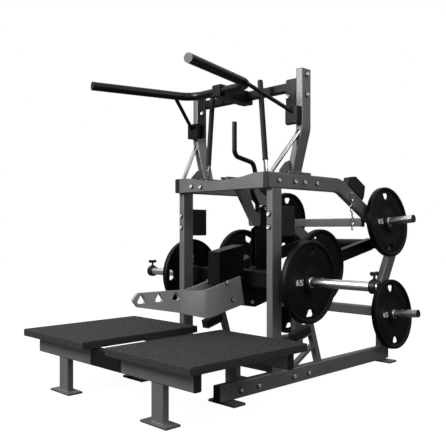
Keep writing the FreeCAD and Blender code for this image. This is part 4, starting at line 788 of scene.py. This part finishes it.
oxide = powder_coat("black_oxide_steel", COLLAR_BLACK, COLLAR_BLACK_DARK, 0.5, 0.34, 0.9,
                    1.8, 0.3)
for side in ("right", "left"):
    node = f"horn_collar_{side}"
    low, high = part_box(node)
    middle_x = (low[0] + high[0]) / 2
    hub = np.array([middle_x, at(0, 189, 0)[1], 0.575])
    ring = [(-0.018, 0.0262), (-0.018, 0.033), (-0.015, 0.036), (-0.006, 0.036),
            (-0.004, 0.0345), (0.004, 0.0345), (0.006, 0.036), (0.015, 0.036), (0.018, 0.033),
            (0.018, 0.0262), (0, 0.0256), (-0.018, 0.0262)]
    stem = [(0.033, 0), (0.033, 0.011), (0.040, 0.011), (0.042, 0.0065), (0.062, 0.0065),
            (0.062, 0)]
    knob = [(-0.029, 0), (-0.029, 0.008), (-0.025, 0.011), (-0.012, 0.010), (-0.006, 0.009),
            (0.006, 0.009), (0.012, 0.010), (0.025, 0.011), (0.029, 0.008), (0.029, 0)]
    shells = [turned(ring, 48, hub, (1, 0, 0)), turned(stem, 20, hub, (0, 0, 1)),
              turned(knob, 20, hub + (0, 0, 0.066), (0, 1, 0))]
    fit(shown(node + "_cast", mesh_of(node + "_cast", shells)), oxide, node, "chrome", node)


# Chain on the right side beam: welded links of round plated wire, each at right angles
# to the next, with a wider one at the foot. It hangs from a small peg.

LINK_LONG = 50
LINK_WIDE = 26
LINK_WIRE = 3.0
LINK_PITCH = 37.1
CHAIN_TOP = at(389.6, 731, 1063)


def link(centre, roll, swell=0.0):
    """An oval link of round wire: its middle line goes round two half circles joined by
    straight sides, and swell widens the lower one."""
    half = (LINK_WIDE / 2 - LINK_WIRE) / 1000
    straight = (LINK_LONG / 2 - LINK_WIRE) / 1000 - half
    turn = np.linspace(0, 2 * np.pi, 40, endpoint=False)
    across = half * np.cos(turn)
    up = half * np.sin(turn) + straight * np.sign(np.sin(turn))
    across *= 1 + swell * (up < 0)
    facing = np.array([math.cos(roll), math.sin(roll), 0])
    path = centre + across[:, None] * facing + up[:, None] * np.array([0, 0, 1])
    return wire(path, (-facing[1], facing[0], 0), LINK_WIRE / 1000, True, 10)


links = [link(CHAIN_TOP - np.array([0, 0, LINK_PITCH * i / 1000]),
              math.radians(45 if i % 2 == 0 else -45), 0.35 if i == 5 else 0.0)
         for i in range(6)]
peg_low = at(378, 731, 1077.8)
links.append(turned([(0, 0), (0, 0.0025), (0.0196, 0.0025), (0.0196, 0.006), (0.0222, 0.006),
                     (0.0222, 0)], 16, peg_low, (1, 0, 0)))
fit(shown("belt_chain_links", mesh_of("belt_chain_links", links)), chrome, "frame",
    "chain_steel", "belt_chain")


low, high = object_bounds()
